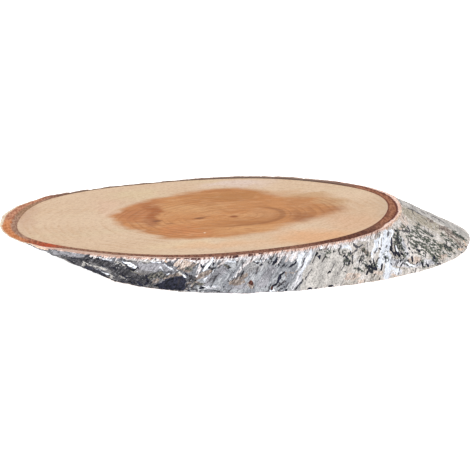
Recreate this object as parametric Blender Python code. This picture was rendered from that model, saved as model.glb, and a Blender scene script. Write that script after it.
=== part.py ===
# Birch wood slice: an oval board sawn at a slant across a birch log, with its bark left on.
#
# Frame: metres, +Z up. The board lies on its lower sawn face at z = 0, with the middle of its
# box at the origin, and +X is its long way. The log it was sawn from leans up towards -X, so
# its round section shows as a long oval, the bark undercuts the board at -X and slopes out
# under it at +X, and the front of the board is its -Y side.
#
# A place on the bark is given as on the log: an angle around it, in degrees, with 0 on the
# side that faces up and -90 at the front, and a distance along it, rising towards -X.

import math
import random

import bmesh
import bpy
import numpy as np
from mathutils import Matrix, Vector, noise

# The sawn board
SLICE_THICKNESS = 0.026
SAW_ANGLE = math.radians(29.4)
LOG_CENTRE = (-0.0003, 0.0006)

# The log's section: how far each lobe stands out and the angle it faces, by lobes around.
# The second set is added towards the upper face and taken away towards the lower one.
LOG_RADIUS = 0.062
LOG_LOBES = {2: (0.00075, 1), 3: (0.00105, 103), 4: (0.00055, -140), 5: (0.0003, 60), 6: (0.0005, 152)}
DRIFT_LOBES = {2: (0.00045, -90), 3: (0.0006, -169), 5: (0.0004, -79), 6: (0.0004, 83)}

# The log's own mesh, and how far it runs past the saw cuts at each end
COLUMNS = 108
RING_STEP = 0.0020
SPARE_LOG = 0.012

# Bark relief: broad swellings, papery plates that end in ledges, and a fine roughness.
# Plates and roughness have one size around the log and another along it.
SWELL = 0.0006
SWELL_SIZE = 0.034
PLATE_STEP = 0.0010
PLATE_SIZE = (0.028, 0.008)
LEDGES = 3
ROUGHNESS = 0.0003
ROUGH_SIZE = (0.006, 0.004)
NOISE_GAIN = 1.6
FISSURE_WIDTH = 0.0040

# Fissures at the front: angle, distance along, length around the log and depth, in degrees and mm
FRONT_FISSURES = (
    (-92, 26, 10, 1.4),
    (-92, 21, 11, 1.3),
    (-86, 14, 8, 1.3),
    (-90, 9, 7, 1.2),
    (-96, 8, 9, 1.4),
    (-82, 2, 10, 1.5),
    (-88, -1, 9, 1.3),
    (-76, -7, 12, 2.0),
    (-77, -18, 9, 2.0),
    (-89, -15, 16, 1.8),
    (-73, -24, 10, 1.3),
    (-84, -28, 11, 1.5),
    (-78, -30, 10, 1.4),
    (-65, -32, 8, 1.8),
    (-58, -50, 9, 1.6),
    (-71, -43, 9, 1.4),
    (-56, -66, 12, 1.9),
    (-63, -67, 8, 1.6),
)

# Fissures all round, for the sides that the front ones leave free
LOOSE_FISSURES = 170
LOOSE_LENGTHS = (0.007, 0.018)
LOOSE_DEPTHS = (0.0007, 0.0016)
LOOSE_END_GAP = 0.001
LOOSE_SIDE_GAP = 0.0048
FISSURE_SEED = 11

# Branch scars: angle, distance along, half its size around and half its size along, and depth
BRANCH_SCARS = (
    (-119, 39, 7, 12, 1.5),
    (-129, 57, 5, 9, 1.2),
    (-134, 87, 7, 15, 1.3),
    (72, 12, 8, 13, 1.5),
    (118, -34, 6, 10, 1.2),
)
SCAR_LIP = 0.0006
SCAR_LIP_REACH = 1.1
SCAR_LIP_SPREAD = 0.22
SCAR_LUMP = 0.004
SCAR_LUMP_SHARE = 0.5

# Loose ends of the papery outer bark: each is rooted under the surface, narrows towards its
# free end, drifts a little along the log and stands off the bark by its lift there
PAPER_TABS = 32
PAPER_THICKNESS = 0.0007
PAPER_LENGTHS = (0.012, 0.022)
PAPER_WIDTHS = (0.0030, 0.0055)
PAPER_LIFTS = (0.0006, 0.0012)
PAPER_HEIGHTS = (0.25, 0.8)
PAPER_ROOT = 0.0012
PAPER_NARROWING = 0.55
PAPER_DRIFT = 0.12
PAPER_CURL = 0.6
PAPER_JITTER = math.radians(4.0)
PAPER_SEED = 5

# The box between the saw cuts, wider and longer than the leaning log
SAW_GAP_SIZE = (0.5, 0.25)

MM = 0.001
LOG_AXIS = Vector((-math.cos(SAW_ANGLE), 0.0, math.sin(SAW_ANGLE)))
LOG_UP_SIDE = Vector((math.sin(SAW_ANGLE), 0.0, math.cos(SAW_ANGLE)))
LOG_FAR_SIDE = Vector((0.0, 1.0, 0.0))
HALF_LOG = (SLICE_THICKNESS / 2 + LOG_RADIUS * math.cos(SAW_ANGLE)) / math.sin(SAW_ANGLE) + SPARE_LOG


def clear_scene():
    for thing in list(bpy.data.objects):
        bpy.data.objects.remove(thing, do_unlink=True)


def new_collection(name):
    collection = bpy.data.collections.new(name)
    bpy.context.scene.collection.children.link(collection)
    return collection


def new_material(name, colour, roughness):
    material = bpy.data.materials.new(name)
    material.use_nodes = True
    shader = material.node_tree.nodes["Principled BSDF"]
    shader.inputs["Base Color"].default_value = (*colour, 1.0)
    shader.inputs["Roughness"].default_value = roughness
    shader.inputs["Metallic"].default_value = 0.0
    return material


def log_to_board():
    """The transform that leans an upright log over to the saw's angle, through the board's middle."""
    turn = Matrix((LOG_UP_SIDE, LOG_FAR_SIDE, LOG_AXIS)).transposed().to_4x4()
    return Matrix.Translation((*LOG_CENTRE, SLICE_THICKNESS / 2)) @ turn


def lobes_at(lobes, angle):
    return sum(size * np.cos(count * angle - math.radians(facing)) for count, (size, facing) in lobes.items())


def smooth_log_radius(angle, along):
    """The log's radius with its lobes but without its bark's relief, for arrays of angles and distances."""
    height = along * math.sin(SAW_ANGLE) + LOG_RADIUS * np.cos(angle) * math.cos(SAW_ANGLE)
    share = np.clip(height / (SLICE_THICKNESS / 2), -1.0, 1.0)
    return LOG_RADIUS + lobes_at(LOG_LOBES, angle) + share * lobes_at(DRIFT_LOBES, angle)


def bark_noise(angle, along, size, layer):
    """Smooth noise from about -1 to 1, with lumps of this size around and along the log."""
    size_around, size_along = size
    across = LOG_RADIUS * np.cos(angle) / size_around
    up = LOG_RADIUS * np.sin(angle) / size_around + 10.0 * layer
    points = zip(across.flat, up.flat, (along / size_along).flat)
    values = [NOISE_GAIN * noise.noise(Vector(point)) for point in points]
    return np.array(values).reshape(angle.shape)


def angle_between(angle, other):
    return (angle - other + math.pi) % (2 * math.pi) - math.pi


def fissure_depth(angle, along, fissure):
    """How deep a lens-shaped fissure, which runs around the log, cuts at each place."""
    centre, place, length, depth = fissure
    around = LOG_RADIUS * angle_between(angle, centre) / (length / 2)
    width = FISSURE_WIDTH / 2 * np.sqrt(np.clip(1.0 - around**2, 0.0, 1.0)) + 1e-9
    return depth * np.clip(1.0 - np.abs(along - place) / width, 0.0, 1.0)


def scar_relief(angle, along, scar):
    """An eye-shaped hollow where a branch was, inside a low swollen lip."""
    centre, place, half_around, half_along, depth = scar
    across = LOG_RADIUS * angle_between(angle, math.radians(centre)) / (half_around * MM)
    reach = np.hypot(across, (along - place * MM) / (half_along * MM))
    lumps = 1.0 + SCAR_LUMP_SHARE * bark_noise(angle, along, (SCAR_LUMP, SCAR_LUMP), 3)
    hollow = depth * MM * lumps * np.clip(1.0 - reach**2, 0.0, 1.0)
    return SCAR_LIP * np.exp(-(((reach - SCAR_LIP_REACH) / SCAR_LIP_SPREAD) ** 2)) - hollow


def all_fissures():
    """The front fissures and the loose ones, as angle, place, length and depth in radians and metres."""
    fissures = [(math.radians(a), s * MM, n * MM, d * MM) for a, s, n, d in FRONT_FISSURES]
    draw = random.Random(FISSURE_SEED)
    for _ in range(LOOSE_FISSURES):
        angle = math.radians(draw.uniform(-180.0, 180.0))
        height = draw.uniform(0.0, SLICE_THICKNESS)
        place = along_at_height(angle, height)
        length = draw.uniform(*LOOSE_LENGTHS)
        depth = draw.uniform(*LOOSE_DEPTHS)
        crowded = any(
            abs(angle_between(angle, other)) * LOG_RADIUS < (length + reach) / 2 + LOOSE_END_GAP
            and abs(place - spot) < LOOSE_SIDE_GAP
            for other, spot, reach, _ in fissures
        )
        if not crowded:
            fissures.append((angle, place, length, depth))
    return fissures


def along_at_height(angle, height):
    """The distance along the log at which its side at this angle reaches a height in the board."""
    rise = LOG_RADIUS * math.cos(angle) * math.cos(SAW_ANGLE)
    return (height - SLICE_THICKNESS / 2 - rise) / math.sin(SAW_ANGLE)


def bark_radius(angle, along):
    """The radius of the log's barked surface, for arrays of angles and distances."""
    radius = smooth_log_radius(angle, along)
    radius += SWELL * bark_noise(angle, along, (SWELL_SIZE, SWELL_SIZE), 0)
    plates = bark_noise(angle, along, PLATE_SIZE, 1)
    radius += PLATE_STEP * np.round(LEDGES * plates) / LEDGES
    radius += ROUGHNESS * bark_noise(angle, along, ROUGH_SIZE, 2)
    cuts = [fissure_depth(angle, along, fissure) for fissure in all_fissures()]
    radius -= np.max(cuts, axis=0)
    for scar in BRANCH_SCARS:
        radius += scar_relief(angle, along, scar)
    return radius


def make_log(material):
    """A length of barked log, closed at both ends, lying at the saw's angle."""
    rings = math.ceil(2 * HALF_LOG / RING_STEP)
    mesh = bmesh.new()
    bmesh.ops.create_cone(
        mesh,
        cap_ends=True,
        segments=COLUMNS,
        radius1=LOG_RADIUS,
        radius2=LOG_RADIUS,
        depth=2 * HALF_LOG,
    )
    upright = [edge for edge in mesh.edges if abs(edge.verts[0].co.z - edge.verts[1].co.z) > HALF_LOG]
    bmesh.ops.subdivide_edges(mesh, edges=upright, cuts=rings - 1, use_grid_fill=True)
    angle = np.array([math.atan2(vert.co.y, vert.co.x) for vert in mesh.verts])
    along = np.array([vert.co.z for vert in mesh.verts])
    for vert, radius in zip(mesh.verts, bark_radius(angle, along)):
        vert.co.xy = vert.co.xy.normalized() * radius
    bmesh.ops.transform(mesh, matrix=log_to_board(), verts=mesh.verts)
    data = bpy.data.meshes.new("birch_slice")
    mesh.to_mesh(data)
    mesh.free()
    data.materials.append(material)
    return bpy.data.objects.new("birch_slice", data)


def make_paper_tab(number, angle, height, length, width, lift, turn):
    """A curled end of papery bark: rooted in the bark, rising as it runs around the log, and tapered."""
    mesh = bmesh.new()
    bmesh.ops.create_grid(mesh, x_segments=6, y_segments=2, size=0.5)
    place = along_at_height(angle, height)
    for vert in mesh.verts:
        share = vert.co.x + 0.5
        taper = 1.0 - PAPER_NARROWING * share**2
        here = angle + turn * share * length / LOG_RADIUS
        along = place + vert.co.y * width * taper + PAPER_DRIFT * length * share
        radius = float(smooth_log_radius(np.array(here), np.array(along)))
        radius += (PAPER_ROOT + lift) * share**PAPER_CURL - PAPER_ROOT
        vert.co = (radius * math.cos(here), radius * math.sin(here), along)
    mesh.normal_update()
    bmesh.ops.solidify(mesh, geom=mesh.faces[:], thickness=PAPER_THICKNESS)
    bmesh.ops.transform(mesh, matrix=log_to_board(), verts=mesh.verts)
    bmesh.ops.recalc_face_normals(mesh, faces=mesh.faces)
    data = bpy.data.meshes.new(f"paper_tab_{number}")
    mesh.to_mesh(data)
    mesh.free()
    return bpy.data.objects.new(f"paper_tab_{number}", data)


def make_paper_tabs(collection, material):
    """Paper ends all round the board, evenly spread but for a small seeded draw."""
    draw = random.Random(PAPER_SEED)
    for number in range(PAPER_TABS):
        angle = 2 * math.pi * number / PAPER_TABS - math.pi + draw.uniform(-PAPER_JITTER, PAPER_JITTER)
        height = SLICE_THICKNESS * draw.uniform(*PAPER_HEIGHTS)
        length = draw.uniform(*PAPER_LENGTHS)
        width = draw.uniform(*PAPER_WIDTHS)
        lift = draw.uniform(*PAPER_LIFTS)
        turn = draw.choice((-1, 1))
        tab = make_paper_tab(number, angle, height, length, width, lift, turn)
        tab.data.materials.append(material)
        collection.objects.link(tab)


def make_saw_gap(collection, material):
    """The space between the two saw cuts, which is all of the log that the board keeps."""
    bpy.ops.mesh.primitive_cube_add(size=1.0)
    gap = bpy.context.object
    gap.name = "saw_gap"
    gap.data.transform(Matrix.Diagonal((*SAW_GAP_SIZE, SLICE_THICKNESS, 1.0)))
    gap.data.transform(Matrix.Translation((0.0, 0.0, SLICE_THICKNESS / 2)))
    gap.data.materials.append(material)
    gap.hide_render = True
    gap.display_type = "WIRE"
    bpy.context.collection.objects.unlink(gap)
    collection.objects.link(gap)
    return gap


def apply_modifiers(thing):
    graph = bpy.context.evaluated_depsgraph_get()
    data = bpy.data.meshes.new_from_object(thing.evaluated_get(graph))
    thing.modifiers.clear()
    thing.data = data


def join_paper_tabs(board, tabs):
    """One union of the board and all its paper ends, after which the loose copies are removed."""
    union = board.modifiers.new("paper tabs", "BOOLEAN")
    union.operation = "UNION"
    union.operand_type = "COLLECTION"
    union.collection = tabs
    union.solver = "EXACT"
    apply_modifiers(board)
    for tab in list(tabs.objects):
        bpy.data.objects.remove(tab, do_unlink=True)
    bpy.data.collections.remove(tabs)


def saw_board(board, gap):
    cut = board.modifiers.new("saw cuts", "BOOLEAN")
    cut.operation = "INTERSECT"
    cut.object = gap
    cut.solver = "EXACT"
    cut.material_mode = "TRANSFER"
    apply_modifiers(board)


def drop_scraps(board):
    """Keeps the board's one large body, without any chip that a saw cut freed at its thin edges."""
    mesh = bmesh.new()
    mesh.from_mesh(board.data)
    left = set(mesh.verts)
    bodies = []
    while left:
        reached = {left.pop()}
        edge_of_reach = list(reached)
        while edge_of_reach:
            vert = edge_of_reach.pop()
            near = {edge.other_vert(vert) for edge in vert.link_edges} & left
            left -= near
            reached |= near
            edge_of_reach.extend(near)
        bodies.append(reached)
    bodies.sort(key=len)
    scraps = [vert for body in bodies[:-1] for vert in body]
    bmesh.ops.delete(mesh, geom=scraps, context="VERTS")
    mesh.to_mesh(board.data)
    mesh.free()


def build():
    clear_scene()
    part = new_collection("birch wood slice")
    tools = new_collection("saw cuts")
    tabs = new_collection("paper tabs")
    bark = new_material("birch bark", (0.42, 0.41, 0.40), 0.75)
    wood = new_material("sawn birch", (0.73, 0.52, 0.34), 0.6)

    board = make_log(bark)
    part.objects.link(board)
    make_paper_tabs(tabs, bark)
    join_paper_tabs(board, tabs)
    saw_board(board, make_saw_gap(tools, wood))
    drop_scraps(board)


build()
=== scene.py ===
import math
import random

import bmesh
import bpy
import numpy as np
from mathutils import Matrix, Vector, noise


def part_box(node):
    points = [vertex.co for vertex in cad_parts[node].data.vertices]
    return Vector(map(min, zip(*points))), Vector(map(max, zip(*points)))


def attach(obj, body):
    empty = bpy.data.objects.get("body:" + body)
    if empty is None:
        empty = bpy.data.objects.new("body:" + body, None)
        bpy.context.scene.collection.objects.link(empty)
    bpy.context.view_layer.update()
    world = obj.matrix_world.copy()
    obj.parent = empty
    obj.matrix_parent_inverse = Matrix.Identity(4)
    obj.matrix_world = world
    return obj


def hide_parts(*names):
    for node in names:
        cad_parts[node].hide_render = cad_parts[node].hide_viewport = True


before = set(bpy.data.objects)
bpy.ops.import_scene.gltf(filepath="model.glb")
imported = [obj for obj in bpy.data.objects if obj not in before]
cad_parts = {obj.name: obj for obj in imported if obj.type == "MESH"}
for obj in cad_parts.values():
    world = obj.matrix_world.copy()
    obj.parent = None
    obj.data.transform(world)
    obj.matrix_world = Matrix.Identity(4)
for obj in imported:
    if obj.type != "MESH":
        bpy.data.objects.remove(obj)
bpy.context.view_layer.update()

# The sawn wood
# The real piece is the log's own wood: pale birch sapwood round a brown heart, cut twice by a
# saw that crossed the log at a slant, which turns its round section into a long oval. Both
# sawn faces were sanded flat, and the bark grew on all round, so nothing fixes it.

MM = 0.001
SAW_ANGLE = math.radians(29.4)
LOG_CENTRE = Vector((-0.0003, 0.0006, 0.0))
WOOD_RADIUS = 0.05806
WOOD_CENTRE = (0.00011, 0.00081)
WOOD_LOBES = {2: (0.00052, -71), 3: (0.00058, 111), 4: (0.00026, 173), 5: (0.0002, -32), 6: (0.00068, 102)}
# Where the wood's outline is flatter: middle and half width in degrees, and depth
WOOD_FLATS = ((82, 15, 0.0009), (106, 8, 0.0004), (168, 22, 0.0004), (10, 15, 0.0003))
DRIFT_LOBES = {2: (0.00045, -90), 3: (0.0006, -169), 5: (0.0004, -79), 6: (0.0004, 83)}
WOOD_SIDES = 480
WOOD_TURN = 2 * math.pi / WOOD_SIDES
EDGE_WEAR = 0.00025
PITH = (0.0091, -0.0041)
HEART_CENTRE = (0.0075, 0.0010)
HEART_RADIUS = 0.0353
HEART_LOBES = {
    1: (0.0020, 142),
    2: (0.0012, 122),
    3: (0.0020, 7),
    4: (0.0021, -8),
    5: (0.0009, 92),
    6: (0.0005, -178),
    7: (0.0007, -129),
}
# Dark yearly rings right of the pith: distance from it and strength
DARK_RINGS = ((0.0170, 0.85), (0.0120, 0.25))

# Stains and marks on the face: place from the heart's centre across the log, half size, strength, colour
SAPWOOD_STAINS = (
    ((-0.0273, 0.0372), (0.012, 0.010), 0.5, (220, 204, 166)),
    ((0.0055, 0.0468), (0.016, 0.008), 0.7, (226, 208, 200)),
    ((-0.0380, 0.0180), (0.006, 0.022), 0.5, (221, 184, 160)),
    ((-0.0163, -0.0423), (0.016, 0.008), 0.5, (230, 206, 168)),
    ((0.0240, -0.0421), (0.020, 0.016), 0.95, (225, 176, 134)),
    ((0.0433, -0.0068), (0.010, 0.022), 0.7, (210, 178, 146)),
    ((0.0360, -0.0236), (0.012, 0.016), 0.6, (218, 174, 140)),
    ((-0.0050, -0.0460), (0.022, 0.008), 0.7, (224, 182, 144)),
    ((-0.0630, 0.0140), (0.006, 0.034), 0.6, (196, 160, 138)),
    ((0.0500, -0.0040), (0.007, 0.030), 0.6, (200, 178, 154)),
    ((0.0175, 0.0295), (0.011, 0.007), 0.6, (206, 166, 128)),
    ((0.0270, 0.0215), (0.011, 0.007), 0.8, (196, 156, 114)),
    ((0.0340, 0.0105), (0.008, 0.011), 0.75, (196, 162, 122)),
)
HEART_STAINS = (
    ((-0.0148, 0.0093), (0.010, 0.016), 0.6, (212, 162, 112)),
    ((-0.0058, 0.0096), (0.008, 0.014), 0.5, (208, 158, 108)),
    ((0.0096, -0.0025), (0.007, 0.012), 0.5, (204, 154, 110)),
    ((0.0048, -0.0270), (0.016, 0.010), 0.8, (214, 160, 108)),
    ((-0.0295, 0.0053), (0.009, 0.018), 0.8, (182, 114, 70)),
    ((-0.0242, 0.0200), (0.006, 0.014), 0.6, (184, 116, 70)),
    ((-0.0236, 0.0070), (0.0035, 0.022), 0.95, (160, 88, 38)),
    ((-0.0229, -0.0055), (0.004, 0.008), 0.6, (156, 92, 54)),
    ((-0.0249, -0.0101), (0.005, 0.008), 0.7, (162, 104, 68)),
    ((-0.0162, -0.0213), (0.008, 0.009), 0.7, (204, 132, 80)),
    ((-0.0125, -0.0273), (0.008, 0.008), 0.7, (208, 136, 84)),
    ((-0.0116, 0.0302), (0.010, 0.008), 0.6, (202, 142, 88)),
    ((0.0020, 0.0275), (0.015, 0.011), 0.85, (178, 121, 67)),
    ((0.0110, 0.0330), (0.010, 0.007), 0.7, (178, 118, 62)),
    ((0.0225, -0.0110), (0.006, 0.012), 0.9, (158, 100, 58)),
    ((0.0345, -0.0010), (0.004, 0.008), 0.8, (156, 100, 62)),
    ((0.0232, 0.0099), (0.009, 0.014), 0.7, (184, 128, 82)),
    ((0.0318, -0.0045), (0.006, 0.010), 0.75, (178, 122, 78)),
    ((0.0330, 0.0110), (0.007, 0.010), 0.85, (200, 160, 118)),
    ((0.0250, 0.0205), (0.011, 0.006), 0.75, (200, 156, 112)),
)
FACE_MARKS = (
    ((0.0011, -0.0055), (0.0020, 0.0024), 0.9, (140, 76, 40)),
    ((0.0022, -0.0020), (0.0018, 0.0012), 0.5, (222, 168, 122)),
    ((-0.0095, -0.0052), (0.0025, 0.0014), 0.95, (100, 54, 30)),
    ((-0.0075, -0.0035), (0.0026, 0.0010), 0.6, (150, 92, 56)),
    ((-0.0105, -0.0092), (0.0030, 0.0012), 0.5, (226, 174, 126)),
    ((-0.0226, -0.0062), (0.0021, 0.0013), 0.9, (98, 56, 36)),
    ((-0.0190, -0.0110), (0.0022, 0.0010), 0.6, (136, 84, 56)),
    ((-0.0092, -0.0277), (0.0005, 0.0008), 0.8, (250, 232, 206)),
    ((-0.0016, -0.0032), (0.0012, 0.0010), 0.5, (158, 94, 58)),
)

slice_low, slice_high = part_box("birch_slice")
SLICE_THICKNESS = slice_high.z - slice_low.z
LOG_AXIS = Vector((-math.cos(SAW_ANGLE), 0.0, math.sin(SAW_ANGLE)))
LOG_UP_SIDE = Vector((math.sin(SAW_ANGLE), 0.0, math.cos(SAW_ANGLE)))
LOG_FAR_SIDE = Vector((0.0, 1.0, 0.0))
LOG_MIDDLE = LOG_CENTRE + Vector((0.0, 0.0, SLICE_THICKNESS / 2))
LOG_TURN = Matrix((LOG_UP_SIDE, LOG_FAR_SIDE, LOG_AXIS)).transposed()


def lobes_at(lobes, angle):
    """How far the log's section stands out at an angle around it, for a number or an array."""
    return sum(size * np.cos(count * angle - math.radians(facing)) for count, (size, facing) in lobes.items())


def humps_at(parts, turn):
    """How far soft humps, each with a middle, a half width and a height, stand out at a turn in degrees."""
    return sum(height * np.exp(-(((turn - middle) / half) ** 2)) for middle, half, height in parts)


def along_at(angle, radius, height):
    """The distance along the log at which a line at this angle and radius reaches a height in the slice."""
    rise = radius * np.cos(angle) * math.cos(SAW_ANGLE)
    return (height - SLICE_THICKNESS / 2 - rise) / math.sin(SAW_ANGLE)


def height_at(angle, radius, along):
    """The height in the slice of a place on the log."""
    return SLICE_THICKNESS / 2 + along * math.sin(SAW_ANGLE) + radius * np.cos(angle) * math.cos(SAW_ANGLE)


def place_on_log(angle, radius, along):
    """A place in the slice's frame, from its angle around the log, its radius and its distance along it."""
    return (
        LOG_MIDDLE
        + LOG_AXIS * along
        + LOG_UP_SIDE * (radius * math.cos(angle))
        + LOG_FAR_SIDE * (radius * math.sin(angle))
    )


def share_of_height(height):
    """-1 on the lower sawn face and 1 on the upper one."""
    return height / SLICE_THICKNESS * 2 - 1


def wood_radius(angle, height):
    """The wood's own radius at a height in the slice. It drifts along the log as the bark does."""
    off_centre = WOOD_CENTRE[0] * np.cos(angle) + WOOD_CENTRE[1] * np.sin(angle)
    drift = (share_of_height(height) - 1.0) * lobes_at(DRIFT_LOBES, angle)
    turn = (np.degrees(angle) + 90.0) % 360.0 - 90.0
    flats = humps_at(WOOD_FLATS, turn)
    return WOOD_RADIUS + off_centre + lobes_at(WOOD_LOBES, angle) - flats + drift


def finish_mesh(mesh, name, materials):
    """Turns a bmesh into an object of the scene, with its faces pointing out."""
    bmesh.ops.recalc_face_normals(mesh, faces=mesh.faces)
    data = bpy.data.meshes.new(name)
    mesh.to_mesh(data)
    mesh.free()
    for material in materials:
        data.materials.append(material)
    piece = bpy.data.objects.new(name, data)
    bpy.context.scene.collection.objects.link(piece)
    return piece


def add_node(tree, kind, inputs=None, **settings):
    """A shader node with its settings and its inputs, each input a value or the socket that feeds it."""
    made = tree.nodes.new(kind)
    for name, value in settings.items():
        setattr(made, name, value)
    for name, value in (inputs or {}).items():
        if isinstance(value, bpy.types.NodeSocket):
            tree.links.new(value, made.inputs[name])
        else:
            made.inputs[name].default_value = value
    return made


def math_of(tree, operation, first, second=0.0):
    """One arithmetic step on shader values."""
    return add_node(tree, "ShaderNodeMath", {0: first, 1: second}, operation=operation).outputs[0]


def plus(tree, first, second):
    return math_of(tree, "ADD", first, second)


def minus(tree, first, second):
    return math_of(tree, "SUBTRACT", first, second)


def times(tree, first, second):
    return math_of(tree, "MULTIPLY", first, second)


def ramp(tree, value, low, high, out_low=0.0, out_high=1.0):
    """A soft step: out_low below low, out_high above high."""
    inputs = {"Value": value, "From Min": low, "From Max": high, "To Min": out_low, "To Max": out_high}
    return add_node(tree, "ShaderNodeMapRange", inputs, interpolation_type="SMOOTHSTEP").outputs["Result"]


def blend(tree, share, first, second, mode="MIX"):
    """Two colours mixed: none of the second at a share of 0, all of it at 1."""
    inputs = {0: share, 6: first, 7: second}
    made = add_node(tree, "ShaderNodeMix", inputs, data_type="RGBA", blend_type=mode, clamp_factor=True)
    return made.outputs[2]


def noise_at(tree, vector, scale, detail=2.0, roughness=0.5):
    """Noise from 0 to 1 that repeats about scale times a metre, before any stretch of the vector."""
    inputs = {"Vector": vector, "Scale": scale, "Detail": detail, "Roughness": roughness}
    return add_node(tree, "ShaderNodeTexNoise", inputs).outputs["Fac"]


def log_place(tree, centre=(0.0, 0.0)):
    """Shader coordinates in the log's own frame: X and Y across it, from this centre, and Z along it."""
    spot = place_on_log(math.atan2(centre[1], centre[0]), math.hypot(*centre), 0.0)
    coordinates = add_node(tree, "ShaderNodeTexCoord").outputs["Object"]
    inputs = {"Vector": coordinates, "Location": spot, "Rotation": LOG_TURN.to_euler()}
    return add_node(tree, "ShaderNodeMapping", inputs, vector_type="TEXTURE").outputs["Vector"]


def stretched(tree, vector, scale):
    """Shader coordinates with each axis multiplied: a pattern is drawn out along the small ones."""
    inputs = {0: vector, 1: scale}
    return add_node(tree, "ShaderNodeVectorMath", inputs, operation="MULTIPLY").outputs["Vector"]


def distance_of(tree, vector, spot=(0.0, 0.0, 0.0)):
    inputs = {0: vector, 1: spot}
    return add_node(tree, "ShaderNodeVectorMath", inputs, operation="DISTANCE").outputs["Value"]


def srgb(red, green, blue):
    """A colour as seen on screen, from 0 to 255, as the linear values that shaders take."""
    levels = [level / 255 for level in (red, green, blue)]
    return (*[v / 12.92 if v <= 0.04045 else ((v + 0.055) / 1.055) ** 2.4 for v in levels], 1.0)


def two_tone(tree, pattern, dark, light, low=0.4, high=0.6):
    """Two screen colours in the patches of a pattern: the dark one below low and the light one above high."""
    return blend(tree, ramp(tree, pattern, low, high), srgb(*dark), srgb(*light))


def new_material(name, roughness, gloss=0.2):
    """An empty material and its tree and shader."""
    material = bpy.data.materials.new(name)
    material.use_nodes = True
    shader = material.node_tree.nodes["Principled BSDF"]
    shader.inputs["Roughness"].default_value = roughness
    shader.inputs["Specular IOR Level"].default_value = gloss
    return material, material.node_tree, shader


def set_bump(tree, shader, height, distance, strength=1.0):
    inputs = {"Height": height, "Distance": distance, "Strength": strength}
    tree.links.new(add_node(tree, "ShaderNodeBump", inputs).outputs["Normal"], shader.inputs["Normal"])


def soft_spot(tree, vector, spot, size, strength):
    """A soft oval stain: its strength at this spot in the log's section, fading to nothing at its size."""
    scale = (1.0 / size[0], 1.0 / size[1], 0.0)
    middle = (spot[0] / size[0], spot[1] / size[1], 0.0)
    return ramp(tree, distance_of(tree, stretched(tree, vector, scale), middle), 0.25, 1.0, strength, 0.0)


def lobed_reach(tree, vector, lobes):
    """The distance from the middle of a lobed outline, less how far its lobes stand out in that direction."""
    parts = add_node(tree, "ShaderNodeSeparateXYZ", {0: vector}).outputs
    turn = math_of(tree, "ARCTAN2", parts[1], parts[0])
    reach = distance_of(tree, stretched(tree, vector, (1.0, 1.0, 0.0)))
    for count, (size, facing) in lobes.items():
        wave = minus(tree, times(tree, turn, count), math.radians(facing))
        lobe = times(tree, math_of(tree, "COSINE", wave), size)
        reach = minus(tree, reach, lobe)
    return reach


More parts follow.
